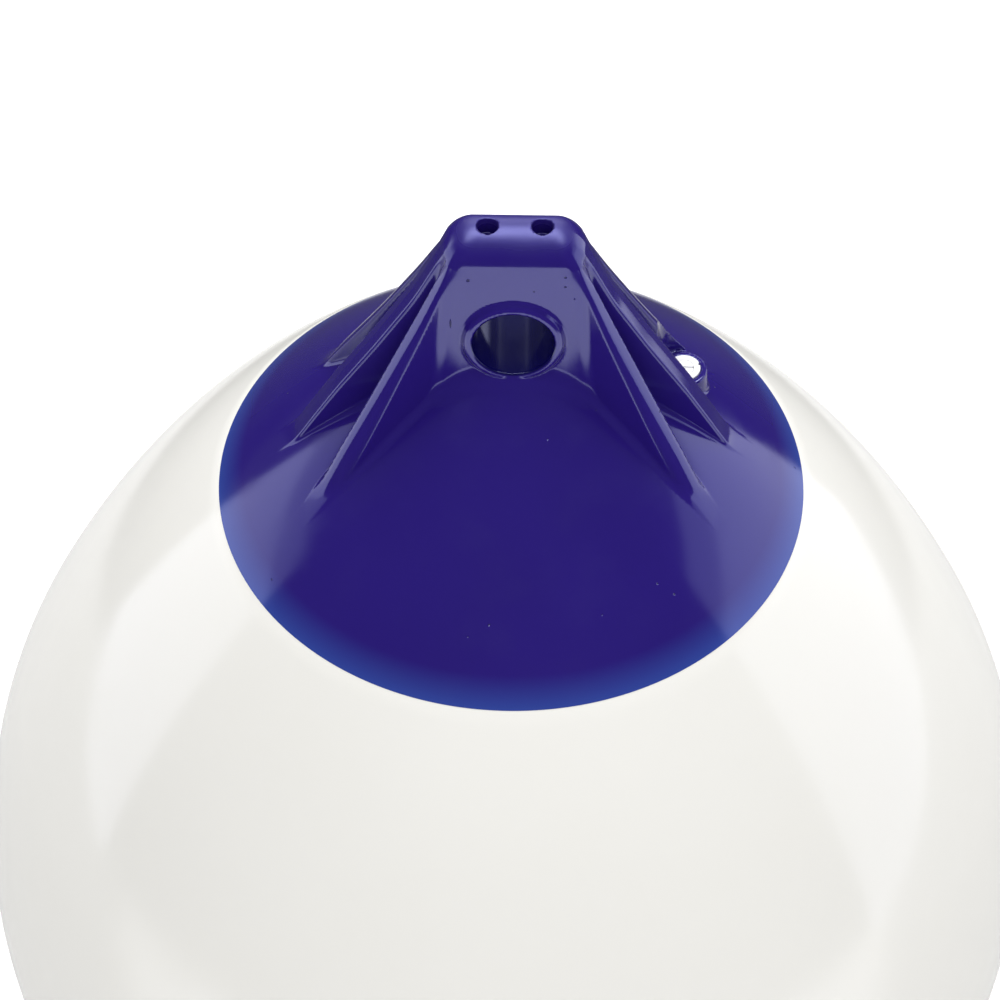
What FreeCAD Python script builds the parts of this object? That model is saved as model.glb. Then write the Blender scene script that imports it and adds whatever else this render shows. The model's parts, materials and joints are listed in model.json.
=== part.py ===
import FreeCAD, Part
import math
import os
import Sketcher

# Inflatable mooring buoy, in millimetres. The origin is the lowest point of the round body, +Z runs
# up through the rope eye, and the eye's bore runs along Y. The white body is a hollow moulded shell.
# The blue rope hold is moulded over its crown: a slab with the eye in it, six ribs that carry the
# slab's load down into a domed cap, and the boss of the inflation valve between two ribs.

os.makedirs("parts", exist_ok=True)
doc = FreeCAD.newDocument("MooringBuoy")
V = FreeCAD.Vector
UP = V(0, 0, 1)

sizes = doc.addObject("Spreadsheet::Sheet", "Sizes")
places = doc.addObject("Spreadsheet::Sheet", "Places")
sheet_of = {}
rows = {"Sizes": 0, "Places": 0}


def add_cell(sheet, alias, text):
    rows[sheet.Name] += 1
    row = rows[sheet.Name]
    sheet.set(f"A{row}", alias)
    sheet.set(f"B{row}", text)
    sheet.setAlias(f"B{row}", alias)
    sheet_of[alias] = sheet


def place(alias, formula):
    add_cell(places, alias, "=" + formula)


# Every size that can be set by itself, in millimetres and degrees
SIZES = {
    # The round body and the shoulder that runs up from it
    "ball_diameter": 432.0,  # outside of the round lower body
    "shoulder_angle": 21.8,  # degrees above the equator where the shoulder leaves the ball
    "shoulder_radius": 462.3,  # arc of the shoulder, tangent to the ball
    "body_wall": 2.5,  # wall of the white shell
    # The cap of the rope hold, flush with the shoulder
    "cap_rim_radius": 117.6,  # edge of the blue cap
    "cap_thickness": 7.0,  # cap's thickness away from its edge
    "cap_edge": 1.0,  # cap's thickness at its feathered edge
    "cap_feather": 26.0,  # width of the feathered band, measured on the radius
    "root_depth": 39.0,  # solid root under the slab, below the crown
    # The slab that holds the eye
    "slab_rise": 58.7,  # slab's top above the crown
    "slab_width": 51.0,  # slab's width along X at its top, before rounding
    "slab_flare": 5.5,  # degrees that the slab's ends lean out towards the cap
    "slab_roll": 12.5,  # radius of the rounded top, across the thickness
    "slab_lean": 3.5,  # degrees that the faces lean in towards the top
    "slab_corner_top": 11.0,  # corner radius at the top, seen from the front
    "slab_corner_side": 4.0,  # corner radius down the sides
    "slab_foot_radius": 5.0,  # hollow where the slab meets the cap
    "pin_hole_radius": 4.25,  # two blind holes in the slab's top
    "pin_hole_spacing": 21.4,  # distance between the two holes
    "pin_hole_depth": 9.0,  # depth below the slab's top
    # The rope eye
    "eye_rise": 8.2,  # eye's centre above the crown
    "eye_radius": 16.0,  # bore of the eye
    "eye_lip": 1.2,  # rounding of the collar's lip, outside and inside
    "collar_base": 20.9,  # radius of the raised collar where it leaves the slab's face
    "collar_crest": 18.6,  # outer radius of the collar's lip, before rounding
    "collar_rise": 2.8,  # collar's height above the slab's face
    # The ribs: one in the middle and one on each side of it, on both ends of the slab
    "rib_inset": 3.0,  # how far inside the slab's end a rib starts
    "rib_neck": 2.4,  # distance from the slab's end to the rib's neck
    "rib_quarter": 13.0,  # distance from the slab's end to the rib's quarter-length
    "rib_middle": 28.0,  # distance from the slab's end to the rib's mid-length
    "rib_runout": 6.0,  # how far a rib runs on below the cap's surface
    "rib_draft": 1.5,  # degrees that each side of a rib leans out towards the cap
    "rib_edge": 1.0,  # rounding along the crest and along both top edges of a rib
    "middle_start_drop": 7.0,  # middle rib: crest at its start, below the slab's top
    "middle_neck_rise": 64.3,  # middle rib: crest above the cap at the neck
    "middle_quarter_rise": 47.4,  # middle rib: crest above the cap at quarter-length
    "middle_rise": 31.0,  # middle rib: crest above the cap at mid-length
    "middle_foot": 88.5,  # middle rib: radius where the crest meets the cap
    "middle_slope": 12.0,  # middle rib: degrees that both halves of its top slope down
    "middle_crest": 1.0,  # middle rib: width of the level crest
    "middle_neck_bevel": 5.7,  # middle rib: width of each sloping half at the neck
    "middle_bevel": 5.6,  # middle rib: width of each sloping half at mid-length
    "middle_foot_bevel": 5.5,  # middle rib: width of each sloping half at the foot
    "outer_angle": 25.4,  # outer ribs: degrees from the X axis, seen from above
    "outer_offset": 9.1,  # outer ribs: distance from the X axis at the slab's end
    "outer_start_drop": 11.5,  # outer ribs: crest at its start, below the slab's top
    "outer_neck_rise": 57.2,  # outer ribs: crest above the cap at the neck
    "outer_quarter_rise": 43.7,  # outer ribs: crest above the cap at quarter-length
    "outer_rise": 27.9,  # outer ribs: crest above the cap at mid-length
    "outer_foot": 84.0,  # outer ribs: radius where the crest meets the cap
    "outer_slope": 45.0,  # outer ribs: degrees that the bevels beside the crest slope down
    "outer_crest": 4.8,  # outer ribs: width of the level crest
    "outer_inner_bevel": 0.9,  # outer ribs: width of the bevel towards the middle rib
    "outer_neck_bevel": 1.4,  # outer ribs: width of the outer bevel at the neck
    "outer_bevel": 4.2,  # outer ribs: width of the outer bevel at mid-length
    "outer_foot_bevel": 7.6,  # outer ribs: width of the outer bevel at the foot
    # The inflation valve
    "valve_radius": 71.9,  # valve's distance from the buoy's axis
    "valve_angle": 17.8,  # degrees from the X axis to the valve, seen from above
    "valve_rise": 2.8,  # boss's top above the cap at the valve's axis
    "boss_radius": 9.2,  # top of the boss
    "boss_draft": 4.0,  # degrees that the boss widens downwards
    "boss_depth": 17.0,  # length of the boss, down into the cap
    "clearing_radius": 10.8,  # round clearing for a screwdriver, cut in cap and rib above the boss
    "clearing_drop": 1.2,  # floor of the clearing below the boss's top
    "flange_radius": 6.5,  # white flange of the valve seat
    "flange_thickness": 1.6,  # thickness of the flange
    "flange_sink": 1.1,  # how deep the flange sits in the boss
    "stem_radius": 5.4,  # stem of the valve seat
    "stem_length": 23.5,  # stem below the flange
    "barb_radius": 6.3,  # barb at the lower end of the stem
    "barb_length": 3.5,  # length of the barb
    "valve_fit": 0.05,  # clearance round the valve's stem and screw
    "screw_head_radius": 3.9,  # head of the bleed screw
    "screw_head": 1.6,  # thickness of the screw's head
    "screw_radius": 2.4,  # thread of the bleed screw
    "screw_length": 15.0,  # thread below the head
    "slot_width": 1.1,  # screwdriver slot
    "slot_depth": 0.9,  # depth of the slot
    "seal_tube": 0.58,  # section radius of the seal ring
    "notch_radius": 0.7,  # notch in the flange's edge
    "notch_angle": 17.0,  # degrees from the X axis to the notch, seen from above
}
for alias, value in SIZES.items():
    add_cell(sizes, alias, str(value))

# Places worked out from the sizes: the ball, its shoulder and the virtual crown on the axis
place("ball_radius", "Sizes.ball_diameter / 2")
place("join_radius", "ball_radius * cos(Sizes.shoulder_angle)")
place("join_height", "ball_radius * (1 + sin(Sizes.shoulder_angle))")
place("arc_radius", "join_radius - Sizes.shoulder_radius * cos(Sizes.shoulder_angle)")
place("arc_height", "join_height - Sizes.shoulder_radius * sin(Sizes.shoulder_angle)")
place("crown", "arc_height + sqrt(Sizes.shoulder_radius ^ 2 - arc_radius ^ 2)")


def arc_level(radius, arc):
    """Height of a shoulder arc at a distance from the buoy's axis, as a formula."""
    return f"arc_height + sqrt(({arc}) ^ 2 - ({radius} - arc_radius) ^ 2)"


# The cap's edge and the contact surface between the cap and the shell
outer_arc = "Sizes.shoulder_radius"
place("rim_height", arc_level("Sizes.cap_rim_radius", outer_arc))
place("rim_out", "(Sizes.cap_rim_radius - arc_radius) / Sizes.shoulder_radius")
place("rim_up", "(rim_height - arc_height) / Sizes.shoulder_radius")
place("seat_radius", "Sizes.cap_rim_radius - Sizes.cap_edge * rim_out")
place("seat_height", "rim_height - Sizes.cap_edge * rim_up")
place("deep_arc", "Sizes.shoulder_radius - Sizes.cap_thickness")
place("ramp_radius", "Sizes.cap_rim_radius - Sizes.cap_feather")
place("ramp_height", arc_level("ramp_radius", "deep_arc"))
place("root_height", "crown - Sizes.root_depth")
place("root_radius", "arc_radius + sqrt(deep_arc ^ 2 - (root_height - arc_height) ^ 2)")
place("below_cap", "join_height")

# The inside of the shell, one wall further in
place("bore_ball", "ball_radius - Sizes.body_wall")
place("bore_arc", "Sizes.shoulder_radius - Sizes.body_wall")
place("bore_deep", "deep_arc - Sizes.body_wall")
place("bore_join_radius", "bore_ball * cos(Sizes.shoulder_angle)")
place("bore_join_height", "ball_radius + bore_ball * sin(Sizes.shoulder_angle)")
place("bore_rim_radius", "Sizes.cap_rim_radius + Sizes.body_wall * rim_out")
place("bore_rim_height", arc_level("bore_rim_radius", "bore_arc"))
place("bore_ramp_radius", "ramp_radius - Sizes.body_wall * rim_out")
place("bore_ramp_height", arc_level("bore_ramp_radius", "bore_deep"))
place("bore_root_height", "root_height - Sizes.body_wall")
place("bore_root_radius", "arc_radius + sqrt(bore_deep ^ 2 - (bore_root_height - arc_height) ^ 2)")

# The slab's end profile: a round top, two leaning faces and a foot buried in the cap
place("slab_top", "crown + Sizes.slab_rise")
place("roll_height", "slab_top - Sizes.slab_roll")
place("roll_side", "Sizes.slab_roll * cos(Sizes.slab_lean)")
place("roll_side_height", "roll_height + Sizes.slab_roll * sin(Sizes.slab_lean)")
place("slab_low", "root_height + Sizes.cap_thickness")
place("slab_low_side", "roll_side + (roll_side_height - slab_low) * tan(Sizes.slab_lean)")
place("slab_top_end", "Sizes.slab_width / 2")
place("slab_end", "slab_top_end + Sizes.slab_roll * tan(Sizes.slab_flare)")
place("slab_low_end", "slab_top_end + (slab_top - slab_low) * tan(Sizes.slab_flare)")
place("pin_x", "Sizes.pin_hole_spacing / 2")
place("pin_floor", "slab_top - Sizes.pin_hole_depth")

# The eye, its collar and its rounded mouth
place("eye_height", "crown + Sizes.eye_rise")
place("face_at_eye", "roll_side + (roll_side_height - eye_height) * tan(Sizes.slab_lean)")
place("collar_y", "face_at_eye - Sizes.collar_rise * cos(Sizes.slab_lean)")
place("collar_height", "eye_height - Sizes.collar_rise * sin(Sizes.slab_lean)")
place("collar_root_radius", "2 * Sizes.collar_base - Sizes.collar_crest")
place("collar_length", "2 * Sizes.collar_rise")
place("crest_y", "collar_y + collar_length * cos(Sizes.slab_lean)")
place("eye_reach", "2 * face_at_eye")

# The inflation valve, on an upright axis
place("valve_x", "Sizes.valve_radius * cos(Sizes.valve_angle)")
place("valve_y", "Sizes.valve_radius * sin(Sizes.valve_angle)")
place("boss_top", arc_level("Sizes.valve_radius", outer_arc) + " + Sizes.valve_rise")
place("boss_low", "boss_top - Sizes.boss_depth")
place("boss_low_radius", "Sizes.boss_radius + Sizes.boss_depth * tan(Sizes.boss_draft)")
place("clearing_floor", "boss_top - Sizes.clearing_drop")
place("flange_low", "boss_top - Sizes.flange_sink")
place("flange_top", "flange_low + Sizes.flange_thickness")
place("flange_hole", "Sizes.flange_radius + Sizes.valve_fit")
place("stem_hole", "Sizes.stem_radius + Sizes.valve_fit")
place("stem_low", "flange_low - Sizes.stem_length")
place("barb_top", "stem_low + Sizes.barb_length")
place("barb_tip", "Sizes.stem_radius - Sizes.valve_fit")
place("recess_radius", "Sizes.screw_head_radius + 3 * Sizes.valve_fit")
place("head_low", "flange_top - Sizes.screw_head")
place("recess_floor", "head_low - 2 * Sizes.seal_tube - Sizes.valve_fit")
place("thread_hole", "Sizes.screw_radius + Sizes.valve_fit")
place("screw_low", "head_low - Sizes.screw_length")
place("screw_tip", "Sizes.screw_radius / 2")
place("screw_tip_height", "screw_low + Sizes.screw_radius / 2")
place("seal_ring", "(Sizes.screw_radius + Sizes.screw_head_radius) / 2")
place("seal_height", "(head_low + recess_floor) / 2")
place("slot_low", "flange_top - Sizes.slot_depth")
place("slot_half", "Sizes.slot_width / 2")
place("slot_reach", "2 * Sizes.screw_head_radius")
place("notch_x", "Sizes.flange_radius * cos(Sizes.notch_angle)")
place("notch_y", "Sizes.flange_radius * sin(Sizes.notch_angle)")


def rib_places(rib, offset, angle, inner):
    """Adds the cells of one rib: upright sections along its line, each with a crest and two bevels.
    The inner bevel's width is given for each section, and the outer one's comes from the sizes."""
    place(f"{rib}_out", f"cos({angle})")
    place(f"{rib}_across", f"sin({angle})")
    slope = f"Sizes.{rib}_slope"
    # Each rounding touches both of its faces at the same distance from their corner
    crest_trim = f"Sizes.rib_edge * tan({slope} / 2)"
    side_trim = f"Sizes.rib_edge * tan((90 - Sizes.rib_draft - {slope}) / 2)"
    place(f"{rib}_crest_half", f"Sizes.{rib}_crest / 2")
    place(f"{rib}_crest_flat", f"{rib}_crest_half - {crest_trim}")
    place(f"{rib}_crest_side", f"{rib}_crest_half + {crest_trim} * cos({slope})")
    # Along the rib's line, counted from the slab's end: the foot is where its radius is reached
    along = f"slab_end * {rib}_out + {offset} * {rib}_across"
    reach = f"(Sizes.{rib}_foot ^ 2 - slab_end ^ 2 - ({offset}) ^ 2)"
    place(f"{rib}_foot_way", f"sqrt(({along}) ^ 2 + {reach}) - ({along})")
    ways = {
        "start": "0 - Sizes.rib_inset",
        "neck": "Sizes.rib_neck",
        "quarter": "Sizes.rib_quarter",
        "mid": "Sizes.rib_middle",
        "foot": f"{rib}_foot_way",
        "end": f"{rib}_foot_way + Sizes.rib_runout",
    }
    for station, way in ways.items():
        key = f"{rib}_{station}"
        place(f"{key}_x", f"slab_end + ({way}) * {rib}_out")
        place(f"{key}_y", f"{offset} + ({way}) * {rib}_across")
        place(f"{key}_r", f"sqrt({key}_x ^ 2 + {key}_y ^ 2)")
        place(f"{key}_cap", arc_level(f"{key}_r", outer_arc))
    place(f"{rib}_mid_top", f"{rib}_mid_cap + Sizes.{rib}_rise")
    fall = f"({rib}_mid_top - {rib}_foot_cap) / ({rib}_foot_way - Sizes.rib_middle)"
    place(f"{rib}_start_top", f"slab_top - Sizes.{rib}_start_drop")
    place(f"{rib}_neck_top", f"{rib}_neck_cap + Sizes.{rib}_neck_rise")
    place(f"{rib}_quarter_top", f"{rib}_quarter_cap + Sizes.{rib}_quarter_rise")
    place(f"{rib}_end_top", f"{rib}_foot_cap - Sizes.rib_runout * {fall}")
    share = "(Sizes.rib_quarter - Sizes.rib_neck) / (Sizes.rib_middle - Sizes.rib_neck)"
    widening = f"(Sizes.{rib}_bevel - Sizes.{rib}_neck_bevel)"
    bevels = {
        "start": f"Sizes.{rib}_neck_bevel",
        "neck": f"Sizes.{rib}_neck_bevel",
        "quarter": f"Sizes.{rib}_neck_bevel + {share} * {widening}",
        "mid": f"Sizes.{rib}_bevel",
        "end": f"Sizes.{rib}_foot_bevel",
    }
    for station, outward in bevels.items():
        key = f"{rib}_{station}"
        place(f"{key}_low", f"{key}_cap - 2 * Sizes.cap_thickness")
        place(f"{key}_crest_round", f"{key}_top - Sizes.rib_edge")
        place(f"{key}_crest_low", f"{key}_top - {crest_trim} * sin({slope})")
        for side, bevel in (("out", outward), ("in", inner or outward)):
            corner = f"{key}_{side}"
            place(corner, f"{rib}_crest_half + {bevel}")
            place(f"{corner}_top", f"{key}_top - ({bevel}) * tan({slope})")
            place(f"{corner}_bevel", f"{corner} - {side_trim} * cos({slope})")
            place(f"{corner}_bevel_top", f"{corner}_top + {side_trim} * sin({slope})")
            place(f"{corner}_side", f"{corner} + {side_trim} * sin(Sizes.rib_draft)")
            place(f"{corner}_side_top", f"{corner}_top - {side_trim} * cos(Sizes.rib_draft)")
            place(f"{corner}_round", f"{corner}_side - Sizes.rib_edge * cos(Sizes.rib_draft)")
            place(f"{corner}_round_top", f"{corner}_side_top - Sizes.rib_edge * sin(Sizes.rib_draft)")
            place(f"{corner}_foot", f"{corner} + ({corner}_top - {key}_low) * tan(Sizes.rib_draft)")


rib_places("middle", "0", "0", None)
rib_places("outer", "Sizes.outer_offset", "Sizes.outer_angle", "Sizes.outer_inner_bevel")
doc.recompute()


def read(alias):
    """A cell's number. A minus sign before the alias mirrors it."""
    sign = -1 if alias.startswith("-") else 1
    name = alias.lstrip("-")
    return sign * float(sheet_of[name].get(name)) if name != "0" else 0.0


def bind(alias):
    """The same cell as an expression."""
    name = alias.lstrip("-")
    sign = "-1 * " if alias.startswith("-") else ""
    return f"{sign}{sheet_of[name].Name}.{name}"


def tie(sketch, direction, element, point, alias):
    """Ties one coordinate of a sketch point to its cell."""
    if alias == "0":
        axis = -2 if direction == "DistanceX" else -1
        sketch.addConstraint(Sketcher.Constraint("PointOnObject", element, point, axis))
        return
    index = sketch.addConstraint(Sketcher.Constraint(direction, element, point, read(alias)))
    sketch.setExpression(f"Constraints[{index}]", bind(alias))


def draw(sketch, corners):
    """Draws a closed outline. Each corner is (x, y) or, where an arc runs to the next corner,
    (x, y, centre x, centre y, "left" or "right" for the side that the arc's centre is on)."""
    count = len(corners)
    ends = []
    for number, corner in enumerate(corners):
        x0, y0 = read(corner[0]), read(corner[1])
        following = corners[(number + 1) % count]
        x1, y1 = read(following[0]), read(following[1])
        if len(corner) == 2:
            line = sketch.addGeometry(Part.LineSegment(V(x0, y0, 0), V(x1, y1, 0)))
            ends.append((line, 1, 2))
            continue
        cx, cy = read(corner[2]), read(corner[3])
        circle = Part.Circle(V(cx, cy, 0), UP, math.hypot(x0 - cx, y0 - cy))
        first = math.atan2(y0 - cy, x0 - cx)
        last = math.atan2(y1 - cy, x1 - cx)
        if corner[4] == "left":
            arc = sketch.addGeometry(Part.ArcOfCircle(circle, first, last))
            ends.append((arc, 1, 2))
        else:
            arc = sketch.addGeometry(Part.ArcOfCircle(circle, last, first))
            ends.append((arc, 2, 1))
    for number in range(count):
        element, _, stop = ends[number]
        after, start, _ = ends[(number + 1) % count]
        sketch.addConstraint(Sketcher.Constraint("Coincident", element, stop, after, start))
    for number, corner in enumerate(corners):
        element, start, _ = ends[number]
        before = corners[number - 1]
        ties = ["DistanceX", "DistanceY"]
        if len(before) > 2:
            # The arc that ends here already fixes one coordinate
            flat = abs(read(corner[0]) - read(before[2])) < abs(read(corner[1]) - read(before[3]))
            ties = ["DistanceX"] if flat else ["DistanceY"]
        for direction in ties:
            tie(sketch, direction, element, start, corner[0] if direction == "DistanceX" else corner[1])
        if len(corner) > 2:
            tie(sketch, "DistanceX", element, 3, corner[2])
            tie(sketch, "DistanceY", element, 3, corner[3])


def new_body(label):
    body = doc.addObject("PartDesign::Body", label)
    body.Label = label
    return body


def origin_feature(body, role):
    return [feature for feature in body.Origin.OriginFeatures if feature.Role == role][0]


def body_sketch(body, role, name):
    sketch = body.newObject("Sketcher::SketchObject", name)
    sketch.AttachmentSupport = [(origin_feature(body, role), "")]
    sketch.MapMode = "FlatFace"
    return sketch


def revolve_body(label, corners):
    """A body turned about its own upright axis from a half profile in X and Z."""
    body = new_body(label)
    sketch = body_sketch(body, "XZ_Plane", f"{label}_profile")
    draw(sketch, corners)
    turned = body.newObject("PartDesign::Revolution", f"{label}_turned")
    turned.Profile = sketch
    turned.ReferenceAxis = (origin_feature(body, "Z_Axis"), [""])
    turned.Angle = 360
    body.Tip = turned
    doc.recompute()
    return body


def cut_up(body, sketch, name, depth=None):
    """A pocket from its sketch upwards: to a depth, or through everything above."""
    before = body.Shape.Volume
    pocket = body.newObject("PartDesign::Pocket", name)
    pocket.Profile = sketch
    pocket.Reversed = True
    if depth is None:
        pocket.Type = "ThroughAll"
    else:
        pocket.Type = "Length"
        pocket.setExpression("Length", depth)
    body.Tip = pocket
    doc.recompute()
    if body.Shape.Volume >= before:
        raise ValueError(f"{name} cuts nothing")
    return pocket


def lift(feature, prop, x="0", y="0", z="0"):
    """Moves an object to cells, by expressions on its placement."""
    for axis, alias in (("x", x), ("y", y), ("z", z)):
        if alias != "0":
            feature.setExpression(f"{prop}.{axis}", bind(alias))


def make_body_shell():
    """The hollow white body: one even wall, stepped in under the cap, with a hole for the valve."""
    arc = ("arc_radius", "arc_height")
    body = revolve_body("body_shell", [
        ("0", "0", "0", "ball_radius", "left"),
        ("join_radius", "join_height", *arc, "left"),
        ("cap_rim_radius", "rim_height"),
        ("seat_radius", "seat_height"),
        ("ramp_radius", "ramp_height", *arc, "left"),
        ("root_radius", "root_height"),
        ("0", "root_height"),
        ("0", "bore_root_height"),
        ("bore_root_radius", "bore_root_height", *arc, "right"),
        ("bore_ramp_radius", "bore_ramp_height"),
        ("bore_rim_radius", "bore_rim_height", *arc, "right"),
        ("bore_join_radius", "bore_join_height", "0", "ball_radius", "right"),
        ("0", "body_wall"),
    ])
    hole = body_sketch(body, "XY_Plane", "valve_hole_circle")
    lift(hole, "AttachmentOffset.Base", z="ball_radius")
    circle = hole.addGeometry(Part.Circle(V(read("valve_x"), read("valve_y"), 0), UP, read("stem_hole")))
    tie(hole, "DistanceX", circle, 3, "valve_x")
    tie(hole, "DistanceY", circle, 3, "valve_y")
    radius = hole.addConstraint(Sketcher.Constraint("Radius", circle, read("stem_hole")))
    hole.setExpression(f"Constraints[{radius}]", bind("stem_hole"))
    cut_up(body, hole, "valve_hole")
    return body


def upright_sketch(name, x="0", y="0", angle=None):
    """A free sketch standing across the X axis: its own X runs along Y and its own Y runs up."""
    sketch = doc.addObject("Sketcher::SketchObject", name)
    standing = FreeCAD.Rotation(V(0, 1, 0), UP, V(1, 0, 0), "ZXY")
    turn = FreeCAD.Rotation(UP, angle or 0)
    sketch.Placement = FreeCAD.Placement(V(read(x), read(y), 0), turn * standing)
    lift(sketch, "Placement.Base", x=x, y=y)
    return sketch


def run_out(name, sketch, direction, length):
    """A solid run out from a sketch to both sides, to a length given as an expression."""
    block = doc.addObject("Part::Extrusion", name)
    block.Base = sketch
    block.DirMode = "Custom"
    block.Dir = direction
    block.Symmetric = True
    block.Solid = True
    block.setExpression("LengthFwd", length)
    return block


def round_edges(name, base, radii):
    """Rounds edges of a shape. Each entry is the edge's number and its radius at both ends."""
    if not radii:
        raise ValueError(f"{name} finds no edge")
    rounded = doc.addObject("Part::Fillet", name)
    rounded.Base = base
    rounded.Edges = radii
    doc.recompute()
    return rounded


def make_slab():
    """The slab: its side profile crossed with its front outline, rounded wider over the top."""
    profile = upright_sketch("slab_profile")
    draw(profile, [
        ("-slab_low_side", "slab_low"),
        ("slab_low_side", "slab_low"),
        ("roll_side", "roll_side_height", "0", "roll_height", "left"),
        ("0", "slab_top", "0", "roll_height", "left"),
        ("-roll_side", "roll_side_height"),
    ])
    outline = doc.addObject("Sketcher::SketchObject", "slab_outline")
    outline.Placement = FreeCAD.Placement(V(0, 0, 0), FreeCAD.Rotation(V(1, 0, 0), 90))
    draw(outline, [
        ("-slab_low_end", "slab_low"),
        ("slab_low_end", "slab_low"),
        ("slab_top_end", "slab_top"),
        ("-slab_top_end", "slab_top"),
    ])
    block = doc.addObject("Part::Common", "slab_block")
    block.Base = run_out("slab_length", profile, V(1, 0, 0), "4 * Places.slab_low_end")
    block.Tool = run_out("slab_depth", outline, V(0, 1, 0), "4 * Places.slab_low_side")
    doc.recompute()
    side, top = read("slab_corner_side"), read("slab_corner_top")
    halfway = (read("slab_low") + read("roll_side_height")) / 2
    radii = []
    for number, edge in enumerate(block.Shape.Edges, 1):
        tips = [edge.valueAt(edge.FirstParameter), edge.valueAt(edge.LastParameter)]
        on_one_end = tips[0].x * tips[1].x > 0
        if not on_one_end or max(tip.z for tip in tips) < halfway:
            continue
        start, stop = [top if abs(tip.y) < side else side for tip in tips]
        radii.append((number, start, stop))
    return round_edges("slab", block, radii)


def make_rib(rib, name):
    """The right-hand rib of a kind, lofted from inside the slab out into the cap."""
    angle = math.degrees(math.atan2(read(f"{rib}_across"), read(f"{rib}_out")))
    sections = []
    for station in ("start", "neck", "quarter", "mid", "end"):
        key = f"{rib}_{station}"
        sketch = upright_sketch(f"{name}_{station}", f"{key}_x", f"{key}_y", angle)
        draw(sketch, [
            (f"-{key}_in_foot", f"{key}_low"),
            (f"{key}_out_foot", f"{key}_low"),
            (f"{key}_out_side", f"{key}_out_side_top", f"{key}_out_round", f"{key}_out_round_top", "left"),
            (f"{key}_out_bevel", f"{key}_out_bevel_top"),
            (f"{rib}_crest_side", f"{key}_crest_low", f"{rib}_crest_flat", f"{key}_crest_round", "left"),
            (f"{rib}_crest_flat", f"{key}_top"),
            (f"-{rib}_crest_flat", f"{key}_top", f"-{rib}_crest_flat", f"{key}_crest_round", "left"),
            (f"-{rib}_crest_side", f"{key}_crest_low"),
            (f"-{key}_in_bevel", f"{key}_in_bevel_top", f"-{key}_in_round", f"{key}_in_round_top", "left"),
            (f"-{key}_in_side", f"{key}_in_side_top"),
        ])
        sections.append(sketch)
    loft = doc.addObject("Part::Loft", name)
    loft.Sections = sections
    loft.Solid = True
    loft.Ruled = True
    doc.recompute()
    return loft


def mirror(name, source, normal):
    mirrored = doc.addObject("Part::Mirroring", name)
    mirrored.Source = source
    mirrored.Normal = normal
    doc.recompute()
    return mirrored


def turned_solid(name, corners):
    """A solid turned about the upright axis, from a profile drawn in X and Z."""
    sketch = doc.addObject("Sketcher::SketchObject", f"{name}_profile")
    sketch.Placement = FreeCAD.Placement(V(0, 0, 0), FreeCAD.Rotation(V(1, 0, 0), 90))
    draw(sketch, corners)
    turned = doc.addObject("Part::Revolution", name)
    turned.Source = sketch
    turned.Axis = UP
    turned.Angle = 360
    turned.Solid = True
    doc.recompute()
    return turned


def cone(name, low_radius, top_radius, height):
    """A cone whose three sizes are cells or expressions."""
    shape = doc.addObject("Part::Cone", name)
    shape.setExpression("Radius1", low_radius)
    shape.setExpression("Radius2", top_radius)
    shape.setExpression("Height", height)
    return shape


def cylinder(name, radius, height):
    shape = doc.addObject("Part::Cylinder", name)
    shape.setExpression("Radius", radius)
    shape.setExpression("Height", height)
    return shape


def join(name, shapes):
    fused = doc.addObject("Part::MultiFuse", name)
    fused.Shapes = shapes
    doc.recompute()
    return fused


def cut(name, base, tool):
    cutting = doc.addObject("Part::Cut", name)
    cutting.Base = base
    cutting.Tool = tool
    doc.recompute()
    if cutting.Shape.Volume >= base.Shape.Volume:
        raise ValueError(f"{name} cuts nothing")
    return cutting


def make_collar(name, side):
    """The eye's raised collar on one face: a low cone square to the leaning face."""
    collar = cone(name, bind("collar_root_radius"), bind("collar_crest"), bind("collar_length"))
    outward = V(0, side * math.cos(math.radians(read("slab_lean"))), math.sin(math.radians(read("slab_lean"))))
    collar.Placement = FreeCAD.Placement(V(0, 0, 0), FreeCAD.Rotation(UP, outward))
    lift(collar, "Placement.Base", y="collar_y" if side > 0 else "-collar_y", z="collar_height")
    return collar


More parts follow.
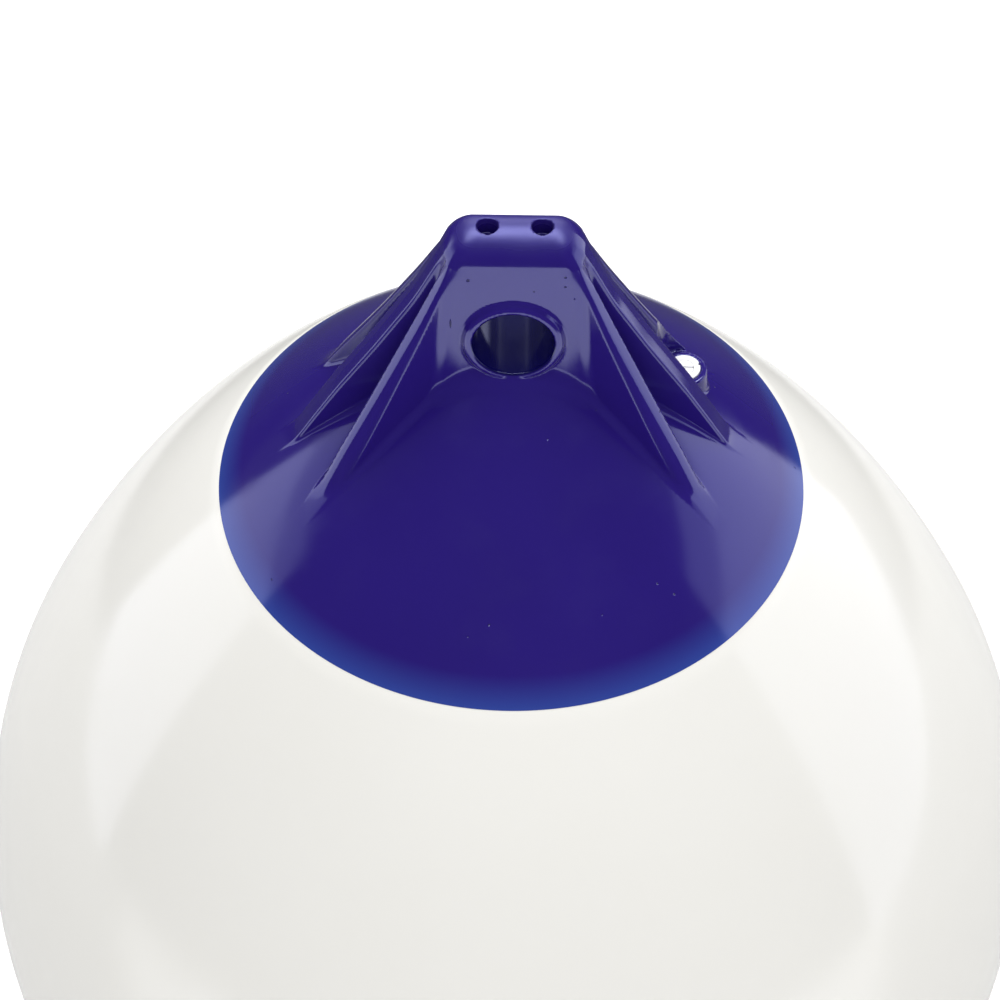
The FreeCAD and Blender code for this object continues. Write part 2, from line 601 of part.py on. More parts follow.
def make_rope_hold():
    """The blue rope hold, one moulding: dome, slab, six ribs, collars and valve boss, then its holes."""
    arc = ("arc_radius", "arc_height")
    dome = turned_solid("dome", [
        ("0", "below_cap"),
        ("cap_rim_radius", "below_cap"),
        ("cap_rim_radius", "rim_height", *arc, "left"),
        ("0", "crown"),
    ])
    standing = join("standing", [dome, make_slab()])
    radii = []
    for number, edge in enumerate(standing.Shape.Edges, 1):
        box = edge.BoundBox
        beside_slab = max(box.XMax, -box.XMin) < 2 * read("slab_low_end")
        if beside_slab and read("slab_low") < box.ZMin and box.ZMax < read("crown"):
            radii.append((number, read("slab_foot_radius"), read("slab_foot_radius")))
    parts = [round_edges("footed", standing, radii)]
    across, along = V(0, 1, 0), V(1, 0, 0)
    rear = make_rib("outer", "rib_right_rear")
    front = mirror("rib_right_front", rear, across)
    middle = make_rib("middle", "rib_right_middle")
    parts += [rear, front, middle]
    for rib, place_word in ((rear, "rear"), (front, "front"), (middle, "middle")):
        parts.append(mirror(f"rib_left_{place_word}", rib, along))
    parts.append(make_collar("collar_front", -1))
    parts.append(make_collar("collar_rear", 1))
    moulding = join("moulding", parts)
    clearing = cylinder("clearing", bind("clearing_radius"), bind("slab_rise"))
    lift(clearing, "Placement.Base", "valve_x", "valve_y", "clearing_floor")
    cleared = cut("cleared", moulding, clearing)
    boss = cone("boss", bind("boss_low_radius"), bind("boss_radius"), bind("boss_depth"))
    lift(boss, "Placement.Base", "valve_x", "valve_y", "boss_low")
    bossed = join("bossed", [cleared, boss])
    inside = turned_solid("inside", [
        ("0", "below_cap"),
        ("cap_rim_radius", "below_cap"),
        ("cap_rim_radius", "rim_height"),
        ("seat_radius", "seat_height"),
        ("ramp_radius", "ramp_height", *arc, "left"),
        ("root_radius", "root_height"),
        ("0", "root_height"),
    ])
    hollow = cut("hollow", bossed, inside)
    eye = cylinder("eye", bind("eye_radius"), "4 * Places.face_at_eye")
    eye.Placement = FreeCAD.Placement(V(0, 0, 0), FreeCAD.Rotation(UP, V(0, -1, 0)))
    lift(eye, "Placement.Base", y="eye_reach", z="eye_height")
    tools = [eye]
    for name, x in (("pin_hole_right", "pin_x"), ("pin_hole_left", "-pin_x")):
        hole = cylinder(name, bind("pin_hole_radius"), "2 * Sizes.pin_hole_depth")
        lift(hole, "Placement.Base", x, "0", "pin_floor")
        tools.append(hole)
    stem_bore = cylinder("stem_bore", bind("stem_hole"), "2 * Sizes.boss_depth")
    lift(stem_bore, "Placement.Base", "valve_x", "valve_y", "boss_low")
    flange_seat = cylinder("flange_seat", bind("flange_hole"), "2 * Sizes.flange_sink")
    lift(flange_seat, "Placement.Base", "valve_x", "valve_y", "flange_low")
    pierced = cut("pierced", hollow, join("holes", tools + [stem_bore, flange_seat]))
    lip = read("eye_lip")
    radii = []
    for number, edge in enumerate(pierced.Shape.Edges, 1):
        box = edge.BoundBox
        centred = abs(box.Center.x) < lip and abs(abs(box.Center.y) - read("crest_y")) < lip
        if centred and read("eye_radius") - lip < box.XLength / 2 < read("collar_crest") + lip:
            radii.append((number, lip, lip))
    moulded = round_edges("rope_hold_moulded", pierced, radii)
    moulded.Label = "rope_hold"
    return moulded


def make_valve_seat():
    """The white valve seat: flange, stem and barb, bored for the bleed screw, with a notched rim."""
    body = revolve_body("valve_seat", [
        ("thread_hole", "stem_low"),
        ("barb_tip", "stem_low"),
        ("barb_radius", "barb_top"),
        ("stem_radius", "barb_top"),
        ("stem_radius", "flange_low"),
        ("flange_radius", "flange_low"),
        ("flange_radius", "flange_top"),
        ("recess_radius", "flange_top"),
        ("recess_radius", "recess_floor"),
        ("thread_hole", "recess_floor"),
    ])
    lift(body, "Placement.Base", x="valve_x", y="valve_y")
    notch = body_sketch(body, "XY_Plane", "notch_circle")
    lift(notch, "AttachmentOffset.Base", z="flange_low")
    circle = notch.addGeometry(Part.Circle(V(read("notch_x"), read("notch_y"), 0), UP, read("notch_radius")))
    tie(notch, "DistanceX", circle, 3, "notch_x")
    tie(notch, "DistanceY", circle, 3, "notch_y")
    radius = notch.addConstraint(Sketcher.Constraint("Radius", circle, read("notch_radius")))
    notch.setExpression(f"Constraints[{radius}]", bind("notch_radius"))
    cut_up(body, notch, "notch")
    return body


def make_valve_screw():
    """The white bleed screw: a slotted head on a plain shank, its thread left to the finish."""
    body = revolve_body("valve_screw", [
        ("0", "screw_low"),
        ("screw_tip", "screw_low"),
        ("screw_radius", "screw_tip_height"),
        ("screw_radius", "head_low"),
        ("screw_head_radius", "head_low"),
        ("screw_head_radius", "flange_top"),
        ("0", "flange_top"),
    ])
    lift(body, "Placement.Base", x="valve_x", y="valve_y")
    slot = body_sketch(body, "XY_Plane", "slot_outline")
    lift(slot, "AttachmentOffset.Base", z="slot_low")
    draw(slot, [
        ("-slot_reach", "-slot_half"),
        ("slot_reach", "-slot_half"),
        ("slot_reach", "slot_half"),
        ("-slot_reach", "slot_half"),
    ])
    cut_up(body, slot, "slot")
    return body


def make_valve_seal():
    """The seal ring between the screw's head and the seat."""
    seal = doc.addObject("Part::Torus", "valve_seal")
    seal.setExpression("Radius1", bind("seal_ring"))
    seal.setExpression("Radius2", bind("seal_tube"))
    lift(seal, "Placement.Base", "valve_x", "valve_y", "seal_height")
    doc.recompute()
    return seal


def export(feature, name):
    shape = feature.Shape
    if shape.isNull() or not shape.isValid():
        raise ValueError(f"{name} has no valid shape")
    shape.exportStep(f"parts/{name}.step")
    print(name, "solids", len(shape.Solids), "volume", round(shape.Volume / 1000, 2), "cm3")


made = {
    "body_shell": make_body_shell(),
    "rope_hold": make_rope_hold(),
    "valve_seat": make_valve_seat(),
    "valve_screw": make_valve_screw(),
    "valve_seal": make_valve_seal(),
}
doc.recompute()
for item in doc.Objects:
    if "Invalid" in item.State or "Error" in item.State:
        raise ValueError(f"{item.Name} failed")
for name, feature in made.items():
    export(feature, name)
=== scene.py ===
import json
import math

import bpy
import numpy as np
from mathutils import Matrix, Vector
from mathutils.geometry import delaunay_2d_cdt

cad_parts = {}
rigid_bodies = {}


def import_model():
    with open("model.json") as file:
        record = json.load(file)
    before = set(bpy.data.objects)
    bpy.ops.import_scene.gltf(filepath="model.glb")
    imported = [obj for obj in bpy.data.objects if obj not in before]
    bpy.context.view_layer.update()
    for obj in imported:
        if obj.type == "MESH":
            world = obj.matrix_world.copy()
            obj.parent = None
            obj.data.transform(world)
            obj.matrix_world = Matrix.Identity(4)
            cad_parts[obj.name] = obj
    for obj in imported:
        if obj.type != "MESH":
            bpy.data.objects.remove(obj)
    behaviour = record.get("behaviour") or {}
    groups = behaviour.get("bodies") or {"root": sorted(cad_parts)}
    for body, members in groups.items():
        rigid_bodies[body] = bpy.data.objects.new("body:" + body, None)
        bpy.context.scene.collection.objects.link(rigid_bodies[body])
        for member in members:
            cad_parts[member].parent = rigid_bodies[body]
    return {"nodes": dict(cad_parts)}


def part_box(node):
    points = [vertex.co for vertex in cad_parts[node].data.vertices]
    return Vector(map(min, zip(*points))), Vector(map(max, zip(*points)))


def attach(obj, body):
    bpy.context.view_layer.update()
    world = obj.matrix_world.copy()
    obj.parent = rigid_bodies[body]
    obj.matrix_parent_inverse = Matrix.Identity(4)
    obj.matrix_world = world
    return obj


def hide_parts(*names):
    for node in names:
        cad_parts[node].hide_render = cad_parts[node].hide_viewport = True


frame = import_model()
scene = bpy.context.scene
mm = 0.001


def newObject(name, data):
    item = bpy.data.objects.new(name, data)
    scene.collection.objects.link(item)
    return item


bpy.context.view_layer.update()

# The buoy's outline, shared by the white body and the blue cap, in millimetres and degrees
outline = {
    "ballRadius": 216.0,
    "shoulderAngle": 21.8,
    "shoulderRadius": 462.3,
    "wall": 2.5,
    "capRim": 117.6,
    "capEdge": 1.0,
    "capThickness": 7.0,
    "capFeather": 26.0,
    "rootDepth": 39.0,
}
shoulderTurn = math.radians(outline["shoulderAngle"])
inward = outline["ballRadius"] - outline["shoulderRadius"]
arcRadius = inward * math.cos(shoulderTurn)
arcHeight = outline["ballRadius"] + inward * math.sin(shoulderTurn)
deepRadius = outline["shoulderRadius"] - outline["capThickness"]


def arcLevel(radius, arc):
    # height of an arc about the shoulder's centre, over a distance from the buoy's axis
    return arcHeight + np.sqrt(arc ** 2 - (radius - arcRadius) ** 2)


crown = float(arcLevel(0.0, outline["shoulderRadius"]))
rootHeight = crown - outline["rootDepth"]
rootRadius = arcRadius + math.sqrt(deepRadius ** 2 - (rootHeight - arcHeight) ** 2)

# The valve's place, from its seat in the CAD model
valveLow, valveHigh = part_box("valve_seat")
valve = {
    "x": (valveLow[0] + valveHigh[0]) / 2 / mm,
    "y": (valveLow[1] + valveHigh[1]) / 2 / mm,
    "flangeTop": valveHigh[2] / mm,
    "flangeRadius": 6.55,
    "flangeThickness": 1.6,
    "stemRadius": 5.45,
}
valve["floor"] = valve["flangeTop"] - valve["flangeThickness"]

# The rope hold, in millimetres and degrees
hold = {
    "top": crown + 58.7,
    "halfWidth": 25.5,
    "flare": 5.5,
    "roll": 12.5,
    "lean": 3.5,
    "cornerTop": 12.0,
    "cornerSide": 5.0,
    "footRound": 6.5,
    "eyeHeight": crown + 8.2,
    "eyeRadius": 16.0,
    "eyeLip": 1.2,
    "collarBase": 20.8,
    "collarCrest": 19.0,
    "collarRise": 2.8,
    "collarRound": 0.9,
    "collarJoin": 0.8,
    "pinX": 10.7,
    "pinRadius": 4.25,
    "pinDepth": 9.0,
    "pinLip": 0.45,
    "ribStart": 18.0,
    "ribRound": 1.2,
    "ribSideRound": 1.8,
    "ribJoin": 1.4,
    "ribBlend": 3.6,
    "ribBlendAtFoot": 1.0,
    "ribBlendFrom": 50.0,
    "ribBlendOver": 32.0,
    "ribSink": 1.5,
    "ribFade": 4.0,
    "ribFadeScale": 1.35,
    "ribDraft": 1.5,
    "bossRise": 0.5,
    "bossRadius": 9.2,
    "bossDraft": 4.0,
    "bossRound": 0.8,
    "bossJoin": 1.0,
    "clearingRadius": 10.8,
    "clearingDrop": 1.2,
    "clearingRound": 0.7,
    "seatRound": 0.3,
}
# Middle rib: ridge height along X, half width of its top and how far the top falls to its edges
middleRib = {
    "ridge": [(0, 579.5), (20, 579.5), (24.5, 578.0), (29, 572.8), (39.6, 548.2), (54.6, 520.9),
              (70, 494.8), (80, 475.9), (88, 459.6), (120, 392.0)],
    "half": 5.9,
    "fall": [(0, 2.0), (27, 2.0), (52, 1.2), (80, 0.5), (120, 0.4)],
    "crest": 0.12,
    "crestDrop": 0.35,
}
# Outer ribs: the line they follow in plan from X of start, the height of the crest along X, its
# width, and the widths of its inner bevel and of the curling outer side
outerRib = {
    "start": 27.0,
    "line": (6.9, 0.41, 0.0016),
    "edge": [(0, 575.0), (20, 575.0), (25, 572.5), (29, 566.7), (39.6, 543.2), (54.6, 512.0),
             (70, 481.4), (76, 468.0), (80, 458.4), (120, 362.0)],
    "strip": [(0, 4.8), (27, 4.8), (42, 5.2), (59, 5.3), (80, 5.3), (120, 5.3)],
    "inner": [(0, 0.6), (27, 0.6), (42, 1.2), (59, 2.3), (70, 2.7), (120, 2.8)],
    "innerSlope": 0.6,
    "innerBend": 0.4,
    "bevel": [(0, 0.8), (27, 0.8), (42, 2.7), (59, 4.5), (70, 5.3), (80, 6.0), (120, 6.2)],
    "slope": 0.5,
    "curl": 0.13,
    "outerBend": 0.5,
}
ribLines = {
    "reach": 120.0,
    "samples": 961,
    "spread": 5.0,
}


def softLine(points):
    # a line through points with its bends rounded, as a function of X
    xs = np.linspace(0.0, ribLines["reach"], ribLines["samples"])
    line = np.interp(xs, [p[0] for p in points], [p[1] for p in points])
    reach = int(ribLines["spread"] / (xs[1] - xs[0]))
    window = np.hanning(2 * reach + 3)[1:-1]
    onward = line[-1] + (line[-1] - line[-2]) * np.arange(1, reach + 1)
    padded = np.concatenate([np.full(reach, line[0]), line, onward])
    smooth = np.convolve(padded, window / window.sum(), mode="valid")
    return lambda x: np.interp(x, xs, smooth)


ridgeAt = softLine(middleRib["ridge"])
fallAt = softLine(middleRib["fall"])
edgeAt = softLine(outerRib["edge"])
stripAt = softLine(outerRib["strip"])
innerAt = softLine(outerRib["inner"])
bevelAt = softLine(outerRib["bevel"])


def steepness(line, x):
    # how much a line rises over one millimetre
    return line(x + 0.5) - line(x - 0.5)


def roundUnion(a, b, r):
    # two solids' distances joined with a fillet of radius r
    return np.maximum(r, np.minimum(a, b)) - np.hypot(np.maximum(r - a, 0), np.maximum(r - b, 0))


def roundCommon(a, b, r):
    # what two solids share, with its edge rounded by radius r
    return np.minimum(-r, np.maximum(a, b)) + np.hypot(np.maximum(r + a, 0), np.maximum(r + b, 0))


def domeField(x, y, z):
    return np.hypot(np.hypot(x, y) - arcRadius, z - arcHeight) - outline["shoulderRadius"]


def slabField(ax, ay, z):
    lean = math.radians(hold["lean"])
    flare = math.radians(hold["flare"])
    up = z - (hold["top"] - hold["roll"])
    along = up * math.cos(lean) - ay * math.sin(lean)
    side = np.where(along > 0, np.hypot(ay, up), ay * math.cos(lean) + up * math.sin(lean)) - hold["roll"]
    end = (ax - hold["halfWidth"]) * math.cos(flare) + (z - hold["top"]) * math.sin(flare)
    rise = np.clip(up / np.maximum(np.hypot(ay, up), 1e-6), 0, 1)
    corner = hold["cornerSide"] + (hold["cornerTop"] - hold["cornerSide"]) * rise
    return roundCommon(side, end, corner)


def ribTop(ax, ay, z, level, slope):
    # distance to a rib's top, which runs out softly just under the dome at its foot
    dome = arcLevel(np.hypot(ax, ay), outline["shoulderRadius"])
    rise = level - dome + hold["ribSink"]
    soft = np.sqrt(rise ** 2 + hold["ribFade"] ** 2)
    faded = dome - hold["ribSink"] + 0.5 * (rise + soft)
    share = 0.5 * (1 + rise / soft)
    return (z - faded) / (share * np.sqrt(1 + slope ** 2) + (1 - share) * hold["ribFadeScale"])


def middleRibField(ax, ay, z):
    draft = math.radians(hold["ribDraft"])
    ridge = ridgeAt(ax)
    steep = steepness(ridgeAt, ax)
    fall = fallAt(ax) / middleRib["half"]
    level = ridge - fall * (np.sqrt(ay ** 2 + middleRib["crest"]) - middleRib["crestDrop"])
    top = ribTop(ax, ay, z, level, np.hypot(steep, fall))
    side = (ay - middleRib["half"]) * math.cos(draft) - (ridge - z) * math.sin(draft)
    return np.maximum(roundCommon(top, side, hold["ribRound"]), hold["ribStart"] - ax)


def outerRibField(ax, ay, z):
    draft = math.radians(hold["ribDraft"])
    t = ax - outerRib["start"]
    offset, lead, bend = outerRib["line"]
    turn = np.arctan(lead + 2 * bend * t)
    across = (ay - (offset + lead * t + bend * t ** 2)) * np.cos(turn)
    foot = ax + across * np.sin(turn)
    strip, bevel = stripAt(foot), bevelAt(foot)
    edge = edgeAt(foot)
    steep = steepness(edgeAt, foot) * np.cos(turn)
    over = across - strip
    softOver = np.sqrt(over ** 2 + outerRib["outerBend"])
    past = 0.5 * (over + softOver)
    slope, curl = outerRib["slope"], outerRib["curl"]
    lower = (slope + 2 * curl * past) * 0.5 * (1 + over / softOver)
    short = innerAt(foot) - across
    before = 0.5 * (short + np.sqrt(short ** 2 + outerRib["innerBend"]))
    level = edge - (slope + curl * past) * past - outerRib["innerSlope"] * before
    top = ribTop(ax, ay, z, level, np.hypot(steep, lower))
    inner = -across * math.cos(draft) - (level - z) * math.sin(draft)
    below = edge - (slope + curl * bevel) * bevel - z
    outer = (over - bevel) * math.cos(draft) - below * math.sin(draft)
    rib = roundCommon(roundCommon(top, inner, hold["ribRound"]), outer, hold["ribSideRound"])
    return np.maximum(rib, hold["ribStart"] - ax)


def collarField(ax, ay, z):
    lean = math.radians(hold["lean"])
    up = z - (hold["top"] - hold["roll"])
    out = ay * math.cos(lean) + up * math.sin(lean) - hold["roll"]
    eyeUp = hold["eyeHeight"] - hold["top"] + hold["roll"]
    faceY = (hold["roll"] - eyeUp * math.sin(lean)) / math.cos(lean)
    ring = np.hypot(ax, (z - hold["eyeHeight"]) * math.cos(lean) - (ay - faceY) * math.sin(lean))
    draw = math.atan2(hold["collarBase"] - hold["collarCrest"], hold["collarRise"])
    side = (ring - hold["collarBase"]) * math.cos(draw) + out * math.sin(draw)
    return roundCommon(side, out - hold["collarRise"], hold["collarRound"])


def holdField(x, y, z):
    # distance to the whole moulding's outer surface, below zero inside
    ax, ay = np.abs(x), np.abs(y)
    dome = domeField(x, y, z)
    field = roundUnion(dome, slabField(ax, ay, z), hold["footRound"])
    ribs = roundUnion(middleRibField(ax, ay, z), outerRibField(ax, ay, z), hold["ribJoin"])
    toFoot = np.clip((ax - hold["ribBlendFrom"]) / hold["ribBlendOver"], 0, 1)
    blend = hold["ribBlend"] - (hold["ribBlend"] - hold["ribBlendAtFoot"]) * toFoot
    field = roundUnion(field, ribs, blend)
    field = roundUnion(field, collarField(ax, ay, z), hold["collarJoin"])
    eye = hold["eyeRadius"] - np.hypot(x, z - hold["eyeHeight"])
    field = roundCommon(field, eye, hold["eyeLip"])
    pin = np.maximum(np.hypot(ax - hold["pinX"], y) - hold["pinRadius"], hold["top"] - hold["pinDepth"] - z)
    field = roundCommon(field, -pin, hold["pinLip"])
    axis = np.hypot(x - valve["x"], y - valve["y"])
    bossTop = valve["flangeTop"] - hold["bossRise"]
    clearing = np.maximum(axis - hold["clearingRadius"], bossTop - hold["clearingDrop"] - z)
    field = roundCommon(field, -clearing, hold["clearingRound"])
    draft = math.radians(hold["bossDraft"])
    wall = (axis - hold["bossRadius"]) * math.cos(draft) - (bossTop - z) * math.sin(draft)
    boss = roundCommon(wall, z - bossTop, hold["bossRound"])
    field = roundUnion(field, boss, hold["bossJoin"])
    seat = np.maximum(axis - valve["flangeRadius"], valve["floor"] - z)
    return roundCommon(field, -seat, hold["seatRound"])


# How the rope hold's surface is netted, in millimetres
net = {
    "low": (-98.5, -54.4, 452.3),
    "high": (98.0, 54.0, hold["top"] + 2.5),
    "cell": 0.85,
    "slopeStep": 0.05,
    "settleTurns": 3,
    "settleReach": 0.6,
    "settleSlope": 0.05,
    "onDome": 0.004,
    "asDome": 0.002,
    "seatFlat": 6.0,
    "seatWithin": 0.2,
    "seatReach": 7.0,
    "stemGap": 0.15,
    "lowest": 453.0,
    "grow": 2,
    "rimPoints": 288,
    "rimInset": 0.75,
    "ringsFrom": 2.0,
    "ringsTo": 116.0,
    "ringStep": 3.2,
    "ringSpacing": 3.6,
    "ringLeast": 12,
    "ringGap": 1.6,
    "stemPoints": 48,
    "rampPoints": 144,
    "rootPoints": 96,
    "underRings": (15, 30, 54, 62, 84, 100, 108),
    "underSpacing": 5,
    "underGap": 8,
    "slack": 0.02,
}


def fieldSlope(points):
    # the field's gradient at each point
    step = net["slopeStep"]
    slopes = []
    for axis in range(3):
        shift = np.zeros(3)
        shift[axis] = step
        ahead = holdField(*(points + shift).T)
        behind = holdField(*(points - shift).T)
        slopes.append((ahead - behind) / (2 * step))
    return np.stack(slopes, axis=1)


def netSurface(low, high, cell):
    # one vertex in each grid cell that the surface crosses, one quad for each crossed grid edge
    axes = [np.arange(a, b + cell, cell) for a, b in zip(low, high)]
    shape = tuple(len(a) for a in axes)
    field = np.empty(shape, np.float32)
    for i, x in enumerate(axes[0]):
        field[i] = holdField(x, axes[1][:, None], axes[2][None, :])
    inside = field < 0
    corners = [(i, j, k) for i in (0, 1) for j in (0, 1) for k in (0, 1)]
    cut = [tuple(slice(c, n - 1 + c) for c, n in zip(corner, shape)) for corner in corners]
    filled = sum(inside[c].astype(np.int8) for c in cut)
    crossed = (filled > 0) & (filled < 8)
    index = np.full(crossed.shape, -1, np.int64)
    cells = np.argwhere(crossed)
    index[crossed] = np.arange(len(cells))
    place = np.zeros((len(cells), 3))
    weight = np.zeros(len(cells))
    for a in range(8):
        for b in range(a + 1, 8):
            step = np.subtract(corners[b], corners[a])
            if np.abs(step).sum() != 1:
                continue
            fa = field[tuple((cells + corners[a]).T)].astype(float)
            fb = field[tuple((cells + corners[b]).T)].astype(float)
            hit = (fa < 0) != (fb < 0)
            share = np.where(hit, fa / np.where(hit, fa - fb, 1.0), 0.0)
            place += np.where(hit, 1.0, 0.0)[:, None] * (np.array(corners[a]) + share[:, None] * step)
            weight += hit
    place = place / weight[:, None] + cells
    points = np.array(low) + place * cell
    quads = []
    for axis in range(3):
        head = [slice(1, -1)] * 3
        head[axis] = slice(0, -1)
        tail = list(head)
        tail[axis] = slice(1, None)
        here, there = inside[tuple(head)], inside[tuple(tail)]
        edges = np.argwhere(here != there)
        outward = here[tuple(edges.T)]
        base = edges + 1
        base[:, axis] -= 1
        u, v = [(1, 2), (2, 0), (0, 1)][axis]
        ring = []
        for du, dv in ((-1, -1), (0, -1), (0, 0), (-1, 0)):
            corner = base.copy()
            corner[:, u] += du
            corner[:, v] += dv
            ring.append(index[tuple(corner.T)])
        ring = np.stack(ring, axis=1)
        ring[~outward] = ring[~outward][:, ::-1]
        quads.append(ring)
    return points, np.concatenate(quads)


def settle(points):
    # moves points onto the surface along the field's slope
    for _ in range(net["settleTurns"]):
        slope = fieldSlope(points)
        size = (slope ** 2).sum(axis=1)
        move = holdField(*points.T)[:, None] * slope / np.maximum(size, net["settleSlope"])[:, None]
        far = np.maximum(np.linalg.norm(move, axis=1, keepdims=True) / net["settleReach"], 1.0)
        points = points - move / far
    return points


def openEdges(faces):
    # edges that only one face uses
    edges = np.concatenate([np.stack([faces[:, i], faces[:, (i + 1) % faces.shape[1]]], 1)
                            for i in range(faces.shape[1])])
    keys = np.sort(edges, axis=1)
    _, first, count = np.unique(keys, axis=0, return_index=True, return_counts=True)
    return edges[first[count == 1]]


def insideLoops(points, starts, ends):
    # even-odd test of flat points against closed loops given as loose edges
    inside = np.zeros(len(points), bool)
    for a, b in zip(starts, ends):
        if a[1] == b[1]:
            continue
        band = (points[:, 1] >= min(a[1], b[1])) & (points[:, 1] < max(a[1], b[1]))
        x = a[0] + (points[band, 1] - a[1]) * (b[0] - a[0]) / (b[1] - a[1])
        hit = points[band, 0] < x
        inside[np.flatnonzero(band)[hit]] ^= True
    return inside


def flatFill(points, edges):
    # triangles over flat points that keep the given edges
    places = [Vector(p) for p in points]
    pairs = [tuple(int(i) for i in e) for e in edges]
    made = delaunay_2d_cdt(places, pairs, [], 0, 1e-7)
    origin = [source[0] if source else -1 for source in made[3]]
    if min(origin) < 0:
        raise ValueError("edges cross in the flat fill")
    triangles = np.array([[origin[i] for i in face] for face in made[2]])
    a, b, c = (np.array(points)[triangles[:, i]] for i in range(3))
    turn = (b[:, 0] - a[:, 0]) * (c[:, 1] - a[:, 1]) - (b[:, 1] - a[:, 1]) * (c[:, 0] - a[:, 0])
    triangles[turn < 0] = triangles[turn < 0][:, ::-1]
    return triangles[np.abs(turn) > 1e-9]


def circle(radius, count, x=0.0, y=0.0):
    angle = 2 * math.pi * np.arange(count) / count
    return np.stack([x + radius * np.cos(angle), y + radius * np.sin(angle)], axis=1)


def ringEdges(first, count):
    return [(first + i, first + (i + 1) % count) for i in range(count)]


def underLevel(radius):
    # the cap's underside: a feathered ramp, an even thickness and a flat root
    rampRadius = outline["capRim"] - outline["capFeather"]
    ramp = float(arcLevel(rampRadius, deepRadius))
    seat = float(arcLevel(outline["capRim"], outline["shoulderRadius"])) - outline["capEdge"]
    line = ramp + (seat - ramp) * (radius - rampRadius) / outline["capFeather"]
    even = arcLevel(np.clip(radius, 0, rampRadius), deepRadius)
    return np.where(radius > rampRadius, line, np.minimum(even, rootHeight))


def fromValve(points):
    # distance from the valve's axis
    return np.hypot(points[:, 0] - valve["x"], points[:, 1] - valve["y"])


def detailedNet():
    # the net's quads round the slab, the ribs and the boss, without the plain dome and the valve's floor
    points, quads = netSurface(net["low"], net["high"], net["cell"])
    print("rope hold: net of", len(points), "points")
    points = settle(points)
    dome = domeField(*points.T)
    plain = (np.abs(dome) < net["onDome"]) & (np.abs(holdField(*points.T) - dome) < net["asDome"])
    axis = fromValve(points)
    floor = (axis < net["seatFlat"]) & (np.abs(points[:, 2] - valve["floor"]) < net["seatWithin"])
    busy = ~(plain | floor)
    for _ in range(net["grow"]):
        touched = busy[quads].any(axis=1)
        busy[np.unique(quads[touched])] = True
    overStem = (axis[quads] < valve["stemRadius"] + net["stemGap"]).any(axis=1)
    tooLow = points[quads][:, :, 2].min(axis=1) <= net["lowest"]
    quads = quads[busy[quads].all(axis=1) & ~overStem & ~tooLow]
    used, quads = np.unique(quads, return_inverse=True)
    return points[used], quads.reshape(-1, 4)


